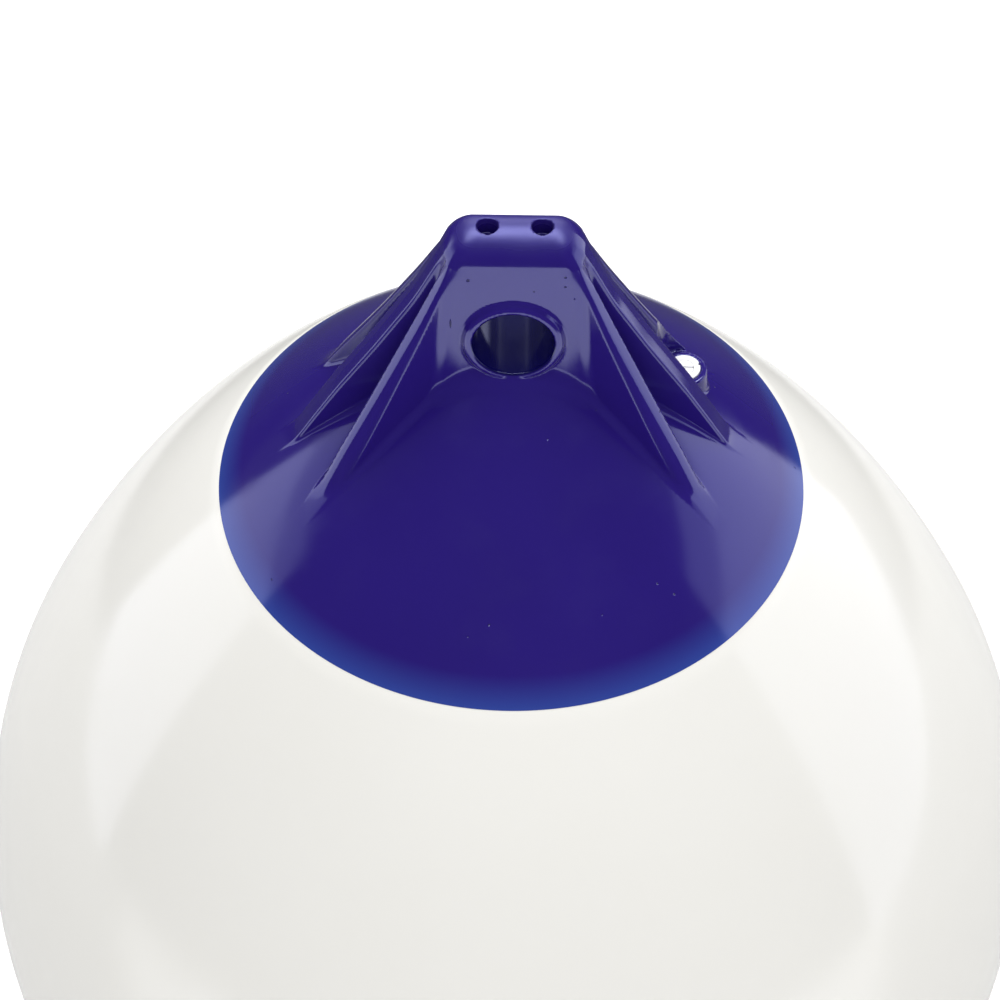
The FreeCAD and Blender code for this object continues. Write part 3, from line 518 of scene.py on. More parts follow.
def holdSurface():
    # the rope hold's points and triangles, and each triangle's kind
    points, quads = detailedNet()
    edges = openEdges(quads)
    onFloor = (fromValve(points)[edges] < net["seatReach"]).all(axis=1)
    triangles = np.concatenate([quads[:, [0, 1, 2]], quads[:, [0, 2, 3]]])
    # kind 0 takes the field's own normals, kind 1 stays flat
    kinds = [np.zeros(len(triangles), int)]
    groups = [triangles]

    def addPoints(flat, heights):
        nonlocal points
        first = len(points)
        points = np.concatenate([points, np.column_stack([flat, heights])])
        return first

    def fillBetween(ids, edgeLists):
        # triangles over the points with these numbers, and the middle of each in plan
        back = {int(v): i for i, v in enumerate(ids)}
        keep = [(back[int(a)], back[int(b)]) for pairs in edgeLists for a, b in pairs]
        fill = ids[flatFill(points[ids, :2], keep)]
        return fill, points[fill][:, :, :2].mean(axis=1)

    def addGroup(faces, kind):
        groups.append(faces)
        kinds.append(np.full(len(faces), kind))

    # The plain dome round the detailed middle, out to the rim
    rim, stem = net["rimPoints"], net["stemPoints"]
    rimFlat = circle(outline["capRim"], rim)
    rimFirst = addPoints(rimFlat, arcLevel(np.full(rim, outline["capRim"]), outline["shoulderRadius"]))
    domeEdges = edges[~onFloor]
    loop = np.unique(domeEdges)
    starts, ends = points[domeEdges[:, 0], :2], points[domeEdges[:, 1], :2]
    radii = np.arange(net["ringsFrom"], net["ringsTo"], net["ringStep"])
    counts = [max(net["ringLeast"], int(2 * math.pi * r / net["ringSpacing"])) for r in radii]
    rings = np.concatenate([circle(r, count) for r, count in zip(radii, counts)])
    free = ~insideLoops(rings, starts, ends)
    apart = np.array([np.min(np.hypot(*(points[loop, :2] - p).T)) > net["ringGap"] for p in rings])
    rings = rings[free & apart]
    ringFirst = addPoints(rings, arcLevel(np.hypot(*rings.T), outline["shoulderRadius"]))
    ids = np.concatenate([loop, np.arange(rimFirst, rimFirst + rim), np.arange(ringFirst, len(points))])
    fill, middle = fillBetween(ids, (domeEdges, ringEdges(rimFirst, rim)))
    addGroup(fill[~insideLoops(middle, starts, ends)], 0)

    # The valve's recess floor, with the round hole for the stem
    holeFlat = circle(valve["stemRadius"], stem, valve["x"], valve["y"])
    holeTop = addPoints(holeFlat, np.full(stem, valve["floor"]))
    floorEdges = edges[onFloor]
    ids = np.concatenate([np.unique(floorEdges), np.arange(holeTop, holeTop + stem)])
    fill, middle = fillBetween(ids, (floorEdges, ringEdges(holeTop, stem)))
    inLoop = insideLoops(middle, points[floorEdges[:, 0], :2], points[floorEdges[:, 1], :2])
    stemEdge = valve["stemRadius"] - net["slack"]
    addGroup(fill[inLoop & (fromValve(middle) > stemEdge)], 1)

    # The underside, the thin edge of the rim and the wall of the stem's hole
    ramp, root = net["rampPoints"], net["rootPoints"]
    seatFlat = circle(outline["capRim"] - net["rimInset"], rim)
    seatFirst = addPoints(seatFlat, underLevel(np.hypot(*seatFlat.T)))
    holeLow = addPoints(holeFlat, underLevel(np.hypot(*holeFlat.T)))
    rampFlat = circle(outline["capRim"] - outline["capFeather"], ramp)
    rampFirst = addPoints(rampFlat, underLevel(np.hypot(*rampFlat.T) - 1e-6))
    rootFirst = addPoints(circle(rootRadius, root), np.full(root, rootHeight))
    inner = [circle(r, int(2 * math.pi * r / net["underSpacing"])) for r in net["underRings"]]
    inner = np.concatenate(inner)
    inner = inner[fromValve(inner) > net["underGap"]]
    addPoints(inner, underLevel(np.hypot(*inner.T)))
    closed = ((seatFirst, rim), (holeLow, stem), (rampFirst, ramp), (rootFirst, root))
    fill, middle = fillBetween(np.arange(seatFirst, len(points)), [ringEdges(*ring) for ring in closed])
    addGroup(fill[fromValve(middle) > stemEdge][:, ::-1], 1)
    for upper, lower, n, flipped in ((rimFirst, seatFirst, rim, False), (holeTop, holeLow, stem, True)):
        a = np.arange(n)
        b = (a + 1) % n
        wall = np.concatenate([np.stack([upper + a, lower + a, lower + b], 1),
                               np.stack([upper + a, lower + b, upper + b], 1)])
        addGroup(wall[:, ::-1] if flipped else wall, 1)
    triangles = np.concatenate(groups)
    kinds = np.concatenate(kinds)
    print("rope hold:", len(triangles), "triangles, open edges", len(openEdges(triangles)))
    return points, triangles, kinds


def makeHold():
    points, triangles, kinds = holdSurface()
    mesh = bpy.data.meshes.new("ropeHold")
    mesh.from_pydata(points * mm, [], triangles.tolist())
    mesh.polygons.foreach_set("use_smooth", np.ones(len(mesh.polygons), bool))
    normals = fieldSlope(points)
    normals /= np.linalg.norm(normals, axis=1, keepdims=True)
    a, b, c = (points[triangles[:, i]] for i in range(3))
    flat = np.cross(b - a, c - a)
    flat /= np.maximum(np.linalg.norm(flat, axis=1, keepdims=True), 1e-12)
    loops = normals[triangles]
    loops[kinds == 1] = flat[kinds == 1][:, None, :]
    mesh.normals_split_custom_set(loops.reshape(-1, 3))
    return newObject("ropeHoldMoulding", mesh)


# The white body, turned by Geometry Nodes; lengths in metres
body = {
    "rows": 180,
    "turns": 264,
    "underRows": 14,
    "merge": 0.00002,
    "drillSides": 64,
    "drillLow": 0.44,
    "drillHigh": 0.5,
}


def link(tree, source, target):
    tree.links.new(source, target)


def mathNode(tree, kind, *values):
    node = tree.nodes.new("ShaderNodeMath")
    node.operation = kind
    for i, value in enumerate(values):
        if isinstance(value, (int, float)):
            node.inputs[i].default_value = value
        else:
            link(tree, value, node.inputs[i])
    return node.outputs[0]


def mathIn(tree):
    return lambda kind, *values: mathNode(tree, kind, *values)


def axesOf(tree, place):
    node = tree.nodes.new("ShaderNodeSeparateXYZ")
    link(tree, place, node.inputs[0])
    return node.outputs


def turnedBodyTree():
    tree = bpy.data.node_groups.new("turnedBody", "GeometryNodeTree")
    sizes = [("Ball Radius", outline["ballRadius"] * mm), ("Shoulder Angle", shoulderTurn),
             ("Shoulder Radius", outline["shoulderRadius"] * mm), ("Rim Radius", outline["capRim"] * mm),
             ("Cap Edge", outline["capEdge"] * mm), ("Cap Thickness", outline["capThickness"] * mm),
             ("Feather", outline["capFeather"] * mm), ("Root Radius", rootRadius * mm)]
    tree.interface.new_socket("Geometry", in_out="INPUT", socket_type="NodeSocketGeometry")
    for name, value in sizes:
        socket = tree.interface.new_socket(name, in_out="INPUT", socket_type="NodeSocketFloat")
        socket.default_value = value
    for name, value in (("Rows", body["rows"]), ("Turns", body["turns"])):
        socket = tree.interface.new_socket(name, in_out="INPUT", socket_type="NodeSocketInt")
        socket.default_value = value
    tree.interface.new_socket("Finish", in_out="INPUT", socket_type="NodeSocketMaterial")
    tree.interface.new_socket("Geometry", in_out="OUTPUT", socket_type="NodeSocketGeometry")
    given = tree.nodes.new("NodeGroupInput").outputs
    rows, turns = given["Rows"], given["Turns"]
    grid = tree.nodes.new("GeometryNodeMeshGrid")
    grid.inputs["Size X"].default_value = 1.0
    grid.inputs["Size Y"].default_value = 1.0
    link(tree, turns, grid.inputs["Vertices X"])
    link(tree, rows, grid.inputs["Vertices Y"])
    gridX, gridY, _ = axesOf(tree, tree.nodes.new("GeometryNodeInputPosition").outputs[0])
    m = mathIn(tree)
    around = m("MULTIPLY", m("ADD", gridX, 0.5), 2 * math.pi)
    up = m("ADD", gridY, 0.5)
    ball, angle, arc = given["Ball Radius"], given["Shoulder Angle"], given["Shoulder Radius"]
    less = m("SUBTRACT", ball, arc)
    centreR = m("MULTIPLY", less, m("COSINE", angle))
    centreZ = m("ADD", ball, m("MULTIPLY", less, m("SINE", angle)))
    deep = m("SUBTRACT", arc, given["Cap Thickness"])
    rimTurn = m("ARCCOSINE", m("DIVIDE", m("SUBTRACT", given["Rim Radius"], centreR), arc))
    featherEnd = m("SUBTRACT", given["Rim Radius"], given["Feather"])
    rampTurn = m("ARCCOSINE", m("DIVIDE", m("SUBTRACT", featherEnd, centreR), deep))
    rootTurn = m("ARCCOSINE", m("DIVIDE", m("SUBTRACT", given["Root Radius"], centreR), deep))
    # The rows run up the ball and the shoulder, then in along the seat under the cap
    split = 1.0 - body["underRows"] / body["rows"]
    skin = m("MINIMUM", m("DIVIDE", up, split), 1.0)
    skinTurn = m("ADD", -math.pi / 2, m("MULTIPLY", skin, m("ADD", rimTurn, math.pi / 2)))
    under = m("MAXIMUM", m("DIVIDE", m("SUBTRACT", up, split), 1.0 - split), 0.0)
    onRamp = m("MINIMUM", m("MULTIPLY", under, 2.0), 1.0)
    onDeep = m("MAXIMUM", m("SUBTRACT", m("MULTIPLY", under, 2.0), 1.0), 0.0)
    underTurn = m("ADD", m("ADD", rimTurn, m("MULTIPLY", onRamp, m("SUBTRACT", rampTurn, rimTurn))),
                  m("MULTIPLY", onDeep, m("SUBTRACT", rootTurn, rampTurn)))
    hidden = m("GREATER_THAN", under, 0.0)
    thicken = m("MULTIPLY", onRamp, m("SUBTRACT", given["Cap Thickness"], given["Cap Edge"]))
    inset = m("MULTIPLY", hidden, m("ADD", given["Cap Edge"], thicken))
    turn = m("ADD", m("MULTIPLY", hidden, underTurn), m("MULTIPLY", m("SUBTRACT", 1.0, hidden), skinTurn))
    shoulder = m("GREATER_THAN", turn, angle)
    radius = m("ADD", ball, m("MULTIPLY", shoulder, m("SUBTRACT", m("SUBTRACT", arc, inset), ball)))
    r = m("ADD", m("MULTIPLY", shoulder, centreR), m("MULTIPLY", radius, m("COSINE", turn)))
    z = m("ADD", m("ADD", ball, m("MULTIPLY", shoulder, m("SUBTRACT", centreZ, ball))),
          m("MULTIPLY", radius, m("SINE", turn)))
    spot = tree.nodes.new("ShaderNodeCombineXYZ")
    link(tree, m("MULTIPLY", r, m("COSINE", around)), spot.inputs[0])
    link(tree, m("MULTIPLY", r, m("SINE", around)), spot.inputs[1])
    link(tree, z, spot.inputs[2])
    move = tree.nodes.new("GeometryNodeSetPosition")
    link(tree, grid.outputs["Mesh"], move.inputs["Geometry"])
    link(tree, spot.outputs[0], move.inputs["Position"])
    # A flat disc under the root closes the top, and merging closes the seam and the pole
    disc = tree.nodes.new("GeometryNodeMeshCircle")
    disc.fill_type = "TRIANGLE_FAN"
    link(tree, m("SUBTRACT", turns, 1.0), disc.inputs["Vertices"])
    link(tree, given["Root Radius"], disc.inputs["Radius"])
    raised = tree.nodes.new("GeometryNodeTransform")
    lift = tree.nodes.new("ShaderNodeCombineXYZ")
    link(tree, m("ADD", centreZ, m("MULTIPLY", deep, m("SINE", rootTurn))), lift.inputs[2])
    link(tree, disc.outputs[0], raised.inputs["Geometry"])
    link(tree, lift.outputs[0], raised.inputs["Translation"])
    joined = tree.nodes.new("GeometryNodeJoinGeometry")
    link(tree, raised.outputs[0], joined.inputs[0])
    link(tree, move.outputs[0], joined.inputs[0])
    merged = tree.nodes.new("GeometryNodeMergeByDistance")
    merged.inputs["Distance"].default_value = body["merge"]
    link(tree, joined.outputs[0], merged.inputs["Geometry"])
    smooth = tree.nodes.new("GeometryNodeSetShadeSmooth")
    link(tree, merged.outputs[0], smooth.inputs["Geometry"])
    real = tree.nodes.new("GeometryNodeRealizeInstances")
    link(tree, smooth.outputs[0], real.inputs[0])
    finish = tree.nodes.new("GeometryNodeSetMaterial")
    link(tree, real.outputs[0], finish.inputs["Geometry"])
    link(tree, given["Finish"], finish.inputs["Material"])
    out = tree.nodes.new("NodeGroupOutput")
    link(tree, finish.outputs[0], out.inputs[0])
    return tree


def makeBody(finish):
    carrier = newObject("bodyCarrier", bpy.data.meshes.new("bodyCarrier"))
    tree = turnedBodyTree()
    modifier = carrier.modifiers.new("turned", "NODES")
    modifier.node_group = tree
    for item in tree.interface.items_tree:
        if item.item_type == "SOCKET" and item.in_out == "INPUT" and item.name == "Finish":
            modifier[item.identifier] = finish
    graph = bpy.context.evaluated_depsgraph_get()
    mesh = bpy.data.meshes.new_from_object(carrier.evaluated_get(graph))
    bpy.data.objects.remove(carrier)
    mesh.name = "whiteBody"
    piece = newObject("whiteBody", mesh)
    wall = piece.modifiers.new("wall", "SOLIDIFY")
    wall.thickness = outline["wall"] * mm
    wall.offset = -1.0
    wall.use_even_offset = True
    # The stem's hole through the wall
    drill = bpy.data.meshes.new("drill")
    sides = body["drillSides"]
    ring = circle(valve["stemRadius"], sides, valve["x"], valve["y"])
    points = [(x * mm, y * mm, z) for z in (body["drillLow"], body["drillHigh"]) for x, y in ring]
    faces = [(i, (i + 1) % sides, sides + (i + 1) % sides, sides + i) for i in range(sides)]
    ends = [tuple(range(sides - 1, -1, -1)), tuple(range(sides, 2 * sides))]
    drill.from_pydata(points, [], faces + ends)
    tool = newObject("drill", drill)
    hole = piece.modifiers.new("stemHole", "BOOLEAN")
    hole.operation = "DIFFERENCE"
    hole.solver = "EXACT"
    hole.object = tool
    graph = bpy.context.evaluated_depsgraph_get()
    done = bpy.data.meshes.new_from_object(piece.evaluated_get(graph))
    for i in range(len(done.materials)):
        done.materials[i] = finish
    piece.modifiers.clear()
    piece.data = done
    bpy.data.objects.remove(tool)
    print("white body:", len(done.polygons), "faces")
    return piece


# The finishes; lengths in metres
blueVinyl = {
    "deep": (0.0182, 0.0082, 0.1500),
    "thin": (0.027, 0.054, 0.290),
    "thinFrom": 0.1080,
    "thinTo": 0.1176,
    "thinPower": 1.2,
    "cloudShade": 1.14,
    "roughness": 0.115,
    "rollRoughness": 0.28,
    "rollFrom": 0.578,
    "rollTo": 0.584,
    "boreFrom": 0.0163,
    "boreTo": 0.0171,
    # the colour painted inside the eye's bore as painted shade
    "borePaintedShade": (0.003, 0.002, 0.062),
    "boreRoughness": 0.05,
    "tint": (0.60, 0.65, 1.0, 1.0),
    "ior": 1.65,
    "skin": {"Wave Scale": 22.0, "Peel Scale": 320.0, "Peel Share": 0.004, "Mark Scale": 55.0},
    "markRoughness": 0.05,
    "pitScale": 85.0,
    "pitFrom": 0.018,
    "pitTo": 0.05,
    "pitColour": (0.006, 0.003, 0.045),
    "pitShare": 0.8,
    "pitRoughness": 0.3,
    "pitDepth": 1.2,
    "bump": 0.00015,
}
whiteVinyl = {
    "colour": (0.830, 0.820, 0.785),
    "cloudShade": 0.975,
    "markColour": (0.79, 0.775, 0.72),
    "markShare": 0.12,
    "markRoughness": 0.05,
    "roughness": 0.13,
    "ior": 1.42,
    "skin": {"Wave Scale": 7.0, "Peel Scale": 330.0, "Peel Share": 0.03, "Mark Scale": 18.0},
    "bump": 0.0004,
}
whitePlastic = {
    "colour": (0.88, 0.88, 0.89),
    "roughness": 0.34,
    "scale": 110.0,
    "bump": 0.00006,
}
sealRubber = {
    "colour": (0.030, 0.030, 0.032),
    "roughness": 0.62,
    "scale": 150.0,
    "bump": 0.00005,
}
# What all the skins share: the detail of their noises, where marks begin and are full, and how
# far out a speck is at its full strength
grain = {
    "waveDetail": 1.0,
    "peelDetail": 2.0,
    "markDetail": 6.0,
    "marksFrom": 0.45,
    "marksTo": 0.72,
    "speckCore": 0.6,
}
# Both small finishes: how much finer the peel is, its share, how much finer the marks are, and
# what the marks do to the colour and the roughness
plainSkin = {
    "peelScale": 22,
    "peelShare": 0.3,
    "markScale": 2.5,
    "wornShade": 0.90,
    "wornShare": 0.5,
    "wornRoughness": 0.12,
}


def newMaterial(name):
    material = bpy.data.materials.new(name)
    material.use_nodes = True
    tree = material.node_tree
    tree.nodes.clear()
    out = tree.nodes.new("ShaderNodeOutputMaterial")
    shader = tree.nodes.new("ShaderNodeBsdfPrincipled")
    link(tree, shader.outputs[0], out.inputs[0])
    return material, tree, shader


def remap(tree, value, low, high, toLow, toHigh, smooth=False):
    node = tree.nodes.new("ShaderNodeMapRange")
    node.interpolation_type = "SMOOTHSTEP" if smooth else "LINEAR"
    node.inputs["From Min"].default_value = low
    node.inputs["From Max"].default_value = high
    node.inputs["To Min"].default_value = toLow
    node.inputs["To Max"].default_value = toHigh
    link(tree, value, node.inputs["Value"])
    return node.outputs["Result"]


def mixColour(tree, mask, first, second):
    node = tree.nodes.new("ShaderNodeMix")
    node.data_type = "RGBA"
    for value, socket in ((mask, node.inputs[0]), (first, node.inputs[6]), (second, node.inputs[7])):
        if isinstance(value, tuple):
            socket.default_value = (*value, 1.0)
        elif isinstance(value, float):
            socket.default_value = value
        else:
            link(tree, value, socket)
    return node.outputs[2]


def groupSockets(tree, vectors, values, results):
    vector, value = "NodeSocketVector", "NodeSocketFloat"
    sockets = ((vectors, vector, "INPUT"), (values, value, "INPUT"), (results, value, "OUTPUT"))
    for names, kind, way in sockets:
        for name in names:
            tree.interface.new_socket(name, in_out=way, socket_type=kind)
    return tree.nodes.new("NodeGroupInput").outputs, tree.nodes.new("NodeGroupOutput").inputs


def mouldedSkinGroup():
    # the faint skin of a moulded plastic part: slow waves, fine peel and cloudy handling marks
    tree = bpy.data.node_groups.new("mouldedSkin", "ShaderNodeTree")
    scales = ("Wave Scale", "Peel Scale", "Peel Share", "Mark Scale")
    given, out = groupSockets(tree, ("Place",), scales, ("Height", "Marks", "Cloud"))
    wave = tree.nodes.new("ShaderNodeTexNoise")
    peel = tree.nodes.new("ShaderNodeTexNoise")
    marks = tree.nodes.new("ShaderNodeTexNoise")
    noises = ((wave, "Wave Scale", "waveDetail"), (peel, "Peel Scale", "peelDetail"),
              (marks, "Mark Scale", "markDetail"))
    for node, scale, detail in noises:
        link(tree, given["Place"], node.inputs["Vector"])
        link(tree, given[scale], node.inputs["Scale"])
        node.inputs["Detail"].default_value = grain[detail]
    m = mathIn(tree)
    peeled = m("MULTIPLY", peel.outputs["Fac"], given["Peel Share"])
    link(tree, m("ADD", wave.outputs["Fac"], peeled), out["Height"])
    marked = remap(tree, marks.outputs["Fac"], grain["marksFrom"], grain["marksTo"], 0.0, 1.0, True)
    link(tree, marked, out["Marks"])
    link(tree, wave.outputs["Fac"], out["Cloud"])
    return tree


def vectorNode(tree, kind, *vectors):
    node = tree.nodes.new("ShaderNodeVectorMath")
    node.operation = kind
    for i, vector in enumerate(vectors):
        link(tree, vector, node.inputs[i])
    return node.outputs


def speckGroup():
    # one small mark at a place: 1 at its centre, 0 outside its radius
    tree = bpy.data.node_groups.new("speck", "ShaderNodeTree")
    given, out = groupSockets(tree, ("Place", "Centre", "Stretch"), ("Radius",), ("Mask",))
    away = vectorNode(tree, "SUBTRACT", given["Place"], given["Centre"])[0]
    scaled = vectorNode(tree, "MULTIPLY", away, given["Stretch"])[0]
    size = vectorNode(tree, "LENGTH", scaled)["Value"]
    share = mathNode(tree, "DIVIDE", size, given["Radius"])
    link(tree, remap(tree, share, grain["speckCore"], 1.0, 1.0, 0.0, True), out["Mask"])
    return tree


def placeGroup(tree, group, place, values):
    node = tree.nodes.new("ShaderNodeGroup")
    node.node_tree = group
    link(tree, place, node.inputs["Place"])
    for name, value in values.items():
        node.inputs[name].default_value = value
    return node.outputs


def bump(tree, shader, height, distance):
    node = tree.nodes.new("ShaderNodeBump")
    node.inputs["Distance"].default_value = distance
    node.inputs["Strength"].default_value = 1.0
    link(tree, height, node.inputs["Height"])
    link(tree, node.outputs[0], shader.inputs["Normal"])


def objectPlace(tree):
    return tree.nodes.new("ShaderNodeTexCoord").outputs["Object"]


def distanceNode(tree, a, b):
    m = mathIn(tree)
    return m("SQRT", m("ADD", m("POWER", a, 2.0), m("POWER", b, 2.0)))


# Small moulding marks on the slab and its ribs: place in metres, stretch, radius
slabMarks = [
    ((-0.0180, -0.0129, 0.5667), (1.0, 1.0, 1.0), 0.0008),
    ((-0.0247, -0.0143, 0.5436), (2.6, 1.0, 0.45), 0.0013),
    ((0.0237, -0.0134, 0.5579), (1.0, 1.0, 1.0), 0.0007),
    ((0.0200, -0.0127, 0.5691), (1.0, 1.0, 1.0), 0.0006),
    ((0.0200, -0.0130, 0.5640), (1.0, 1.0, 1.0), 0.0006),
    ((0.0078, -0.0132, 0.5611), (1.0, 1.0, 1.0), 0.0004),
]


def makeBlueVinyl(skin, speck):
    material, tree, shader = newMaterial("blueVinyl")
    m = mathIn(tree)
    look = blueVinyl
    place = objectPlace(tree)
    x, y, z = axesOf(tree, place)
    # The blue is thin over the white at the cap's edge, so it shows lighter there
    fromAxis = distanceNode(tree, x, y)
    thin = remap(tree, fromAxis, look["thinFrom"], look["thinTo"], 0.0, 1.0)
    thin = m("POWER", thin, look["thinPower"])
    surface = placeGroup(tree, skin, place, look["skin"])
    cloud = tuple(c * look["cloudShade"] for c in look["deep"])
    colour = mixColour(tree, surface["Cloud"], look["deep"], cloud)
    colour = mixColour(tree, thin, colour, look["thin"])
    pits = tree.nodes.new("ShaderNodeTexVoronoi")
    pits.inputs["Scale"].default_value = look["pitScale"]
    link(tree, place, pits.inputs["Vector"])
    marks = remap(tree, pits.outputs["Distance"], look["pitFrom"], look["pitTo"], 1.0, 0.0, True)
    for centre, stretch, radius in slabMarks:
        mark = placeGroup(tree, speck, place, {"Centre": centre, "Stretch": stretch, "Radius": radius})
        marks = m("MAXIMUM", marks, mark["Mask"])
    pitted = m("MULTIPLY", marks, look["pitShare"])
    colour = mixColour(tree, pitted, colour, look["pitColour"])
    # The eye's bore is painted dark as painted shade and made a little rougher, and the slab's roll is a
    # little duller than its sides
    level = m("SUBTRACT", z, hold["eyeHeight"] * mm)
    fromEye = distanceNode(tree, x, level)
    bore = remap(tree, fromEye, look["boreFrom"], look["boreTo"], 1.0, 0.0, True)
    colour = mixColour(tree, bore, colour, look["borePaintedShade"])
    link(tree, colour, shader.inputs["Base Color"])
    roll = remap(tree, z, look["rollFrom"], look["rollTo"], 0.0, 1.0, True)
    dull = m("ADD", m("MULTIPLY", roll, look["rollRoughness"]),
             m("MULTIPLY", bore, look["boreRoughness"]))
    worn = m("ADD", m("MULTIPLY", surface["Marks"], look["markRoughness"]),
             m("MULTIPLY", marks, look["pitRoughness"]))
    rough = m("ADD", m("ADD", look["roughness"], dull), worn)
    link(tree, rough, shader.inputs["Roughness"])
    height = m("SUBTRACT", surface["Height"], m("MULTIPLY", marks, look["pitDepth"]))
    bump(tree, shader, height, look["bump"])
    shader.inputs["IOR"].default_value = look["ior"]
    shader.inputs["Specular Tint"].default_value = look["tint"]
    return material


def makeWhiteVinyl(skin):
    material, tree, shader = newMaterial("whiteVinyl")
    m = mathIn(tree)
    look = whiteVinyl
    surface = placeGroup(tree, skin, objectPlace(tree), look["skin"])
    shade = tuple(c * look["cloudShade"] for c in look["colour"])
    colour = mixColour(tree, surface["Cloud"], shade, look["colour"])
    marked = m("MULTIPLY", surface["Marks"], look["markShare"])
    colour = mixColour(tree, marked, colour, look["markColour"])
    link(tree, colour, shader.inputs["Base Color"])
    rough = m("ADD", look["roughness"], m("MULTIPLY", surface["Marks"], look["markRoughness"]))
    link(tree, rough, shader.inputs["Roughness"])
    bump(tree, shader, surface["Height"], look["bump"])
    shader.inputs["IOR"].default_value = look["ior"]
    return material


def makePlainFinish(name, look, skin):
    material, tree, shader = newMaterial(name)
    m = mathIn(tree)
    scale = look["scale"]
    surface = placeGroup(tree, skin, objectPlace(tree), {
        "Wave Scale": scale, "Peel Scale": scale * plainSkin["peelScale"],
        "Peel Share": plainSkin["peelShare"], "Mark Scale": scale * plainSkin["markScale"],
    })
    worn = tuple(c * plainSkin["wornShade"] for c in look["colour"])
    marked = m("MULTIPLY", surface["Marks"], plainSkin["wornShare"])
    colour = mixColour(tree, marked, look["colour"], worn)
    link(tree, colour, shader.inputs["Base Color"])
    rough = m("ADD", look["roughness"], m("MULTIPLY", surface["Marks"], plainSkin["wornRoughness"]))
    link(tree, rough, shader.inputs["Roughness"])
    bump(tree, shader, surface["Height"], look["bump"])
    return material


skinGroup = mouldedSkinGroup()
speckMark = speckGroup()
finishes = {
    "blue_vinyl": makeBlueVinyl(skinGroup, speckMark),
    "white_vinyl": makeWhiteVinyl(skinGroup),
    "white_plastic": makePlainFinish("whitePlastic", whitePlastic, skinGroup),
    "seal_rubber": makePlainFinish("sealRubber", sealRubber, skinGroup),
}
print("finishes made")

ropeHold = makeHold()
ropeHold.data.materials.append(finishes["blue_vinyl"])
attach(ropeHold, "buoy")
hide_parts("rope_hold")

whiteBody = makeBody(finishes["white_vinyl"])
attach(whiteBody, "buoy")
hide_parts("body_shell")

valveSlots = {
    "valve_seat": "white_plastic",
    "valve_screw": "white_plastic",
    "valve_seal": "seal_rubber",
}
for node, slot in valveSlots.items():
    materials = frame["nodes"][node].data.materials
    if len(materials) == 0:
        materials.append(finishes[slot])
    for i in range(len(materials)):
        materials[i] = finishes[slot]
print("valve finished")

# The studio: paper floor, surround and lamps; lengths in metres, lamps in watts
studio = {
    "floorHalf": 6.0,
    "floorRoughness": 0.9,
    "paper": (0.86, 0.86, 0.86),
    "paperGlow": 0.30,
    # the floor as seen in reflections is painted: its colour there, and a glow over the table that is
    # stronger in front
    "paperInGloss": 0.25,
    "floorInGloss": 0.03,
    "paintedShine": 0.38,
    "paintedFrontShine": 1.72,
    "table": (1.25, -0.90, 0.56),
    "tableFade": 0.1,
    "rearFade": 0.08,
    "shineFrom": -0.15,
    "shineTo": -0.35,
    "dark": 0.05,
    "rearDark": 0.11,
    "rearFrom": -0.1,
    "rearTo": 0.35,
    "ambient": 0.68,
    "panelReach": 1.2,
    "panelColour": (0.86, 0.88, 1.0),
    # name, side, from and to in Y, from and to in Z, brightness
    "panels": [
        ("leftPanel", -1, (-0.03, 0.72), (0.0, 0.72), 1.90),
        ("leftUpper", -1, (-0.03, 0.72), (0.72, 0.86), 0.95),
        ("rightPanel", 1, (-0.30, 1.15), (0.0, 0.84), 1.90),
        ("rightUpper", 1, (-0.30, 1.15), (0.84, 1.02), 0.95),
    ],
    # name, place, height aimed at, width, depth, power, seen in gloss, lights the surfaces
    "lamps": [
        ("backPanel", (0.0, 1.46, 1.23), 0.57, 1.8, 0.70, 8.0, True, True),
        ("overPanel", (0.0, 0.34, 2.04), 0.57, 2.5, 1.0, 69.0, True, False),
        ("topFill", (0.10, 0.3, 2.3), 0.4, 2.4, 1.8, 19.0, False, True),
        ("rearFill", (0.0, 2.2, 1.8), 0.4, 3.0, 2.0, 29.0, False, True),
        ("frontFill", (0.32, -2.2, 2.2), 0.35, 3.6, 2.2, 24.0, False, True),
    ],
}
# The photograph's own view: 3.5 m away, 49 degrees above the horizon, a hair of roll
view = {
    "lens": 312.6,
    "sensor": 36.0,
    "target": (-0.00444, 0.0, 0.42204),
    "distance": 3.5,
    "elevation": 48.96,
    "roll": 0.74,
    "clip": (0.05, 60.0),
}


def panelLamp(name, place, aim, wide, tall, power, shiny, lighting, colour=(1.0, 1.0, 1.0)):
    lamp = bpy.data.lights.new(name, "AREA")
    lamp.shape = "RECTANGLE"
    lamp.size = wide
    lamp.size_y = tall
    lamp.energy = power
    lamp.color = colour
    item = newObject(name, lamp)
    item.location = place
    item.rotation_euler = (Vector(aim) - Vector(place)).to_track_quat("-Z", "Y").to_euler()
    item.visible_camera = False
    item.visible_glossy = shiny
    item.visible_diffuse = lighting


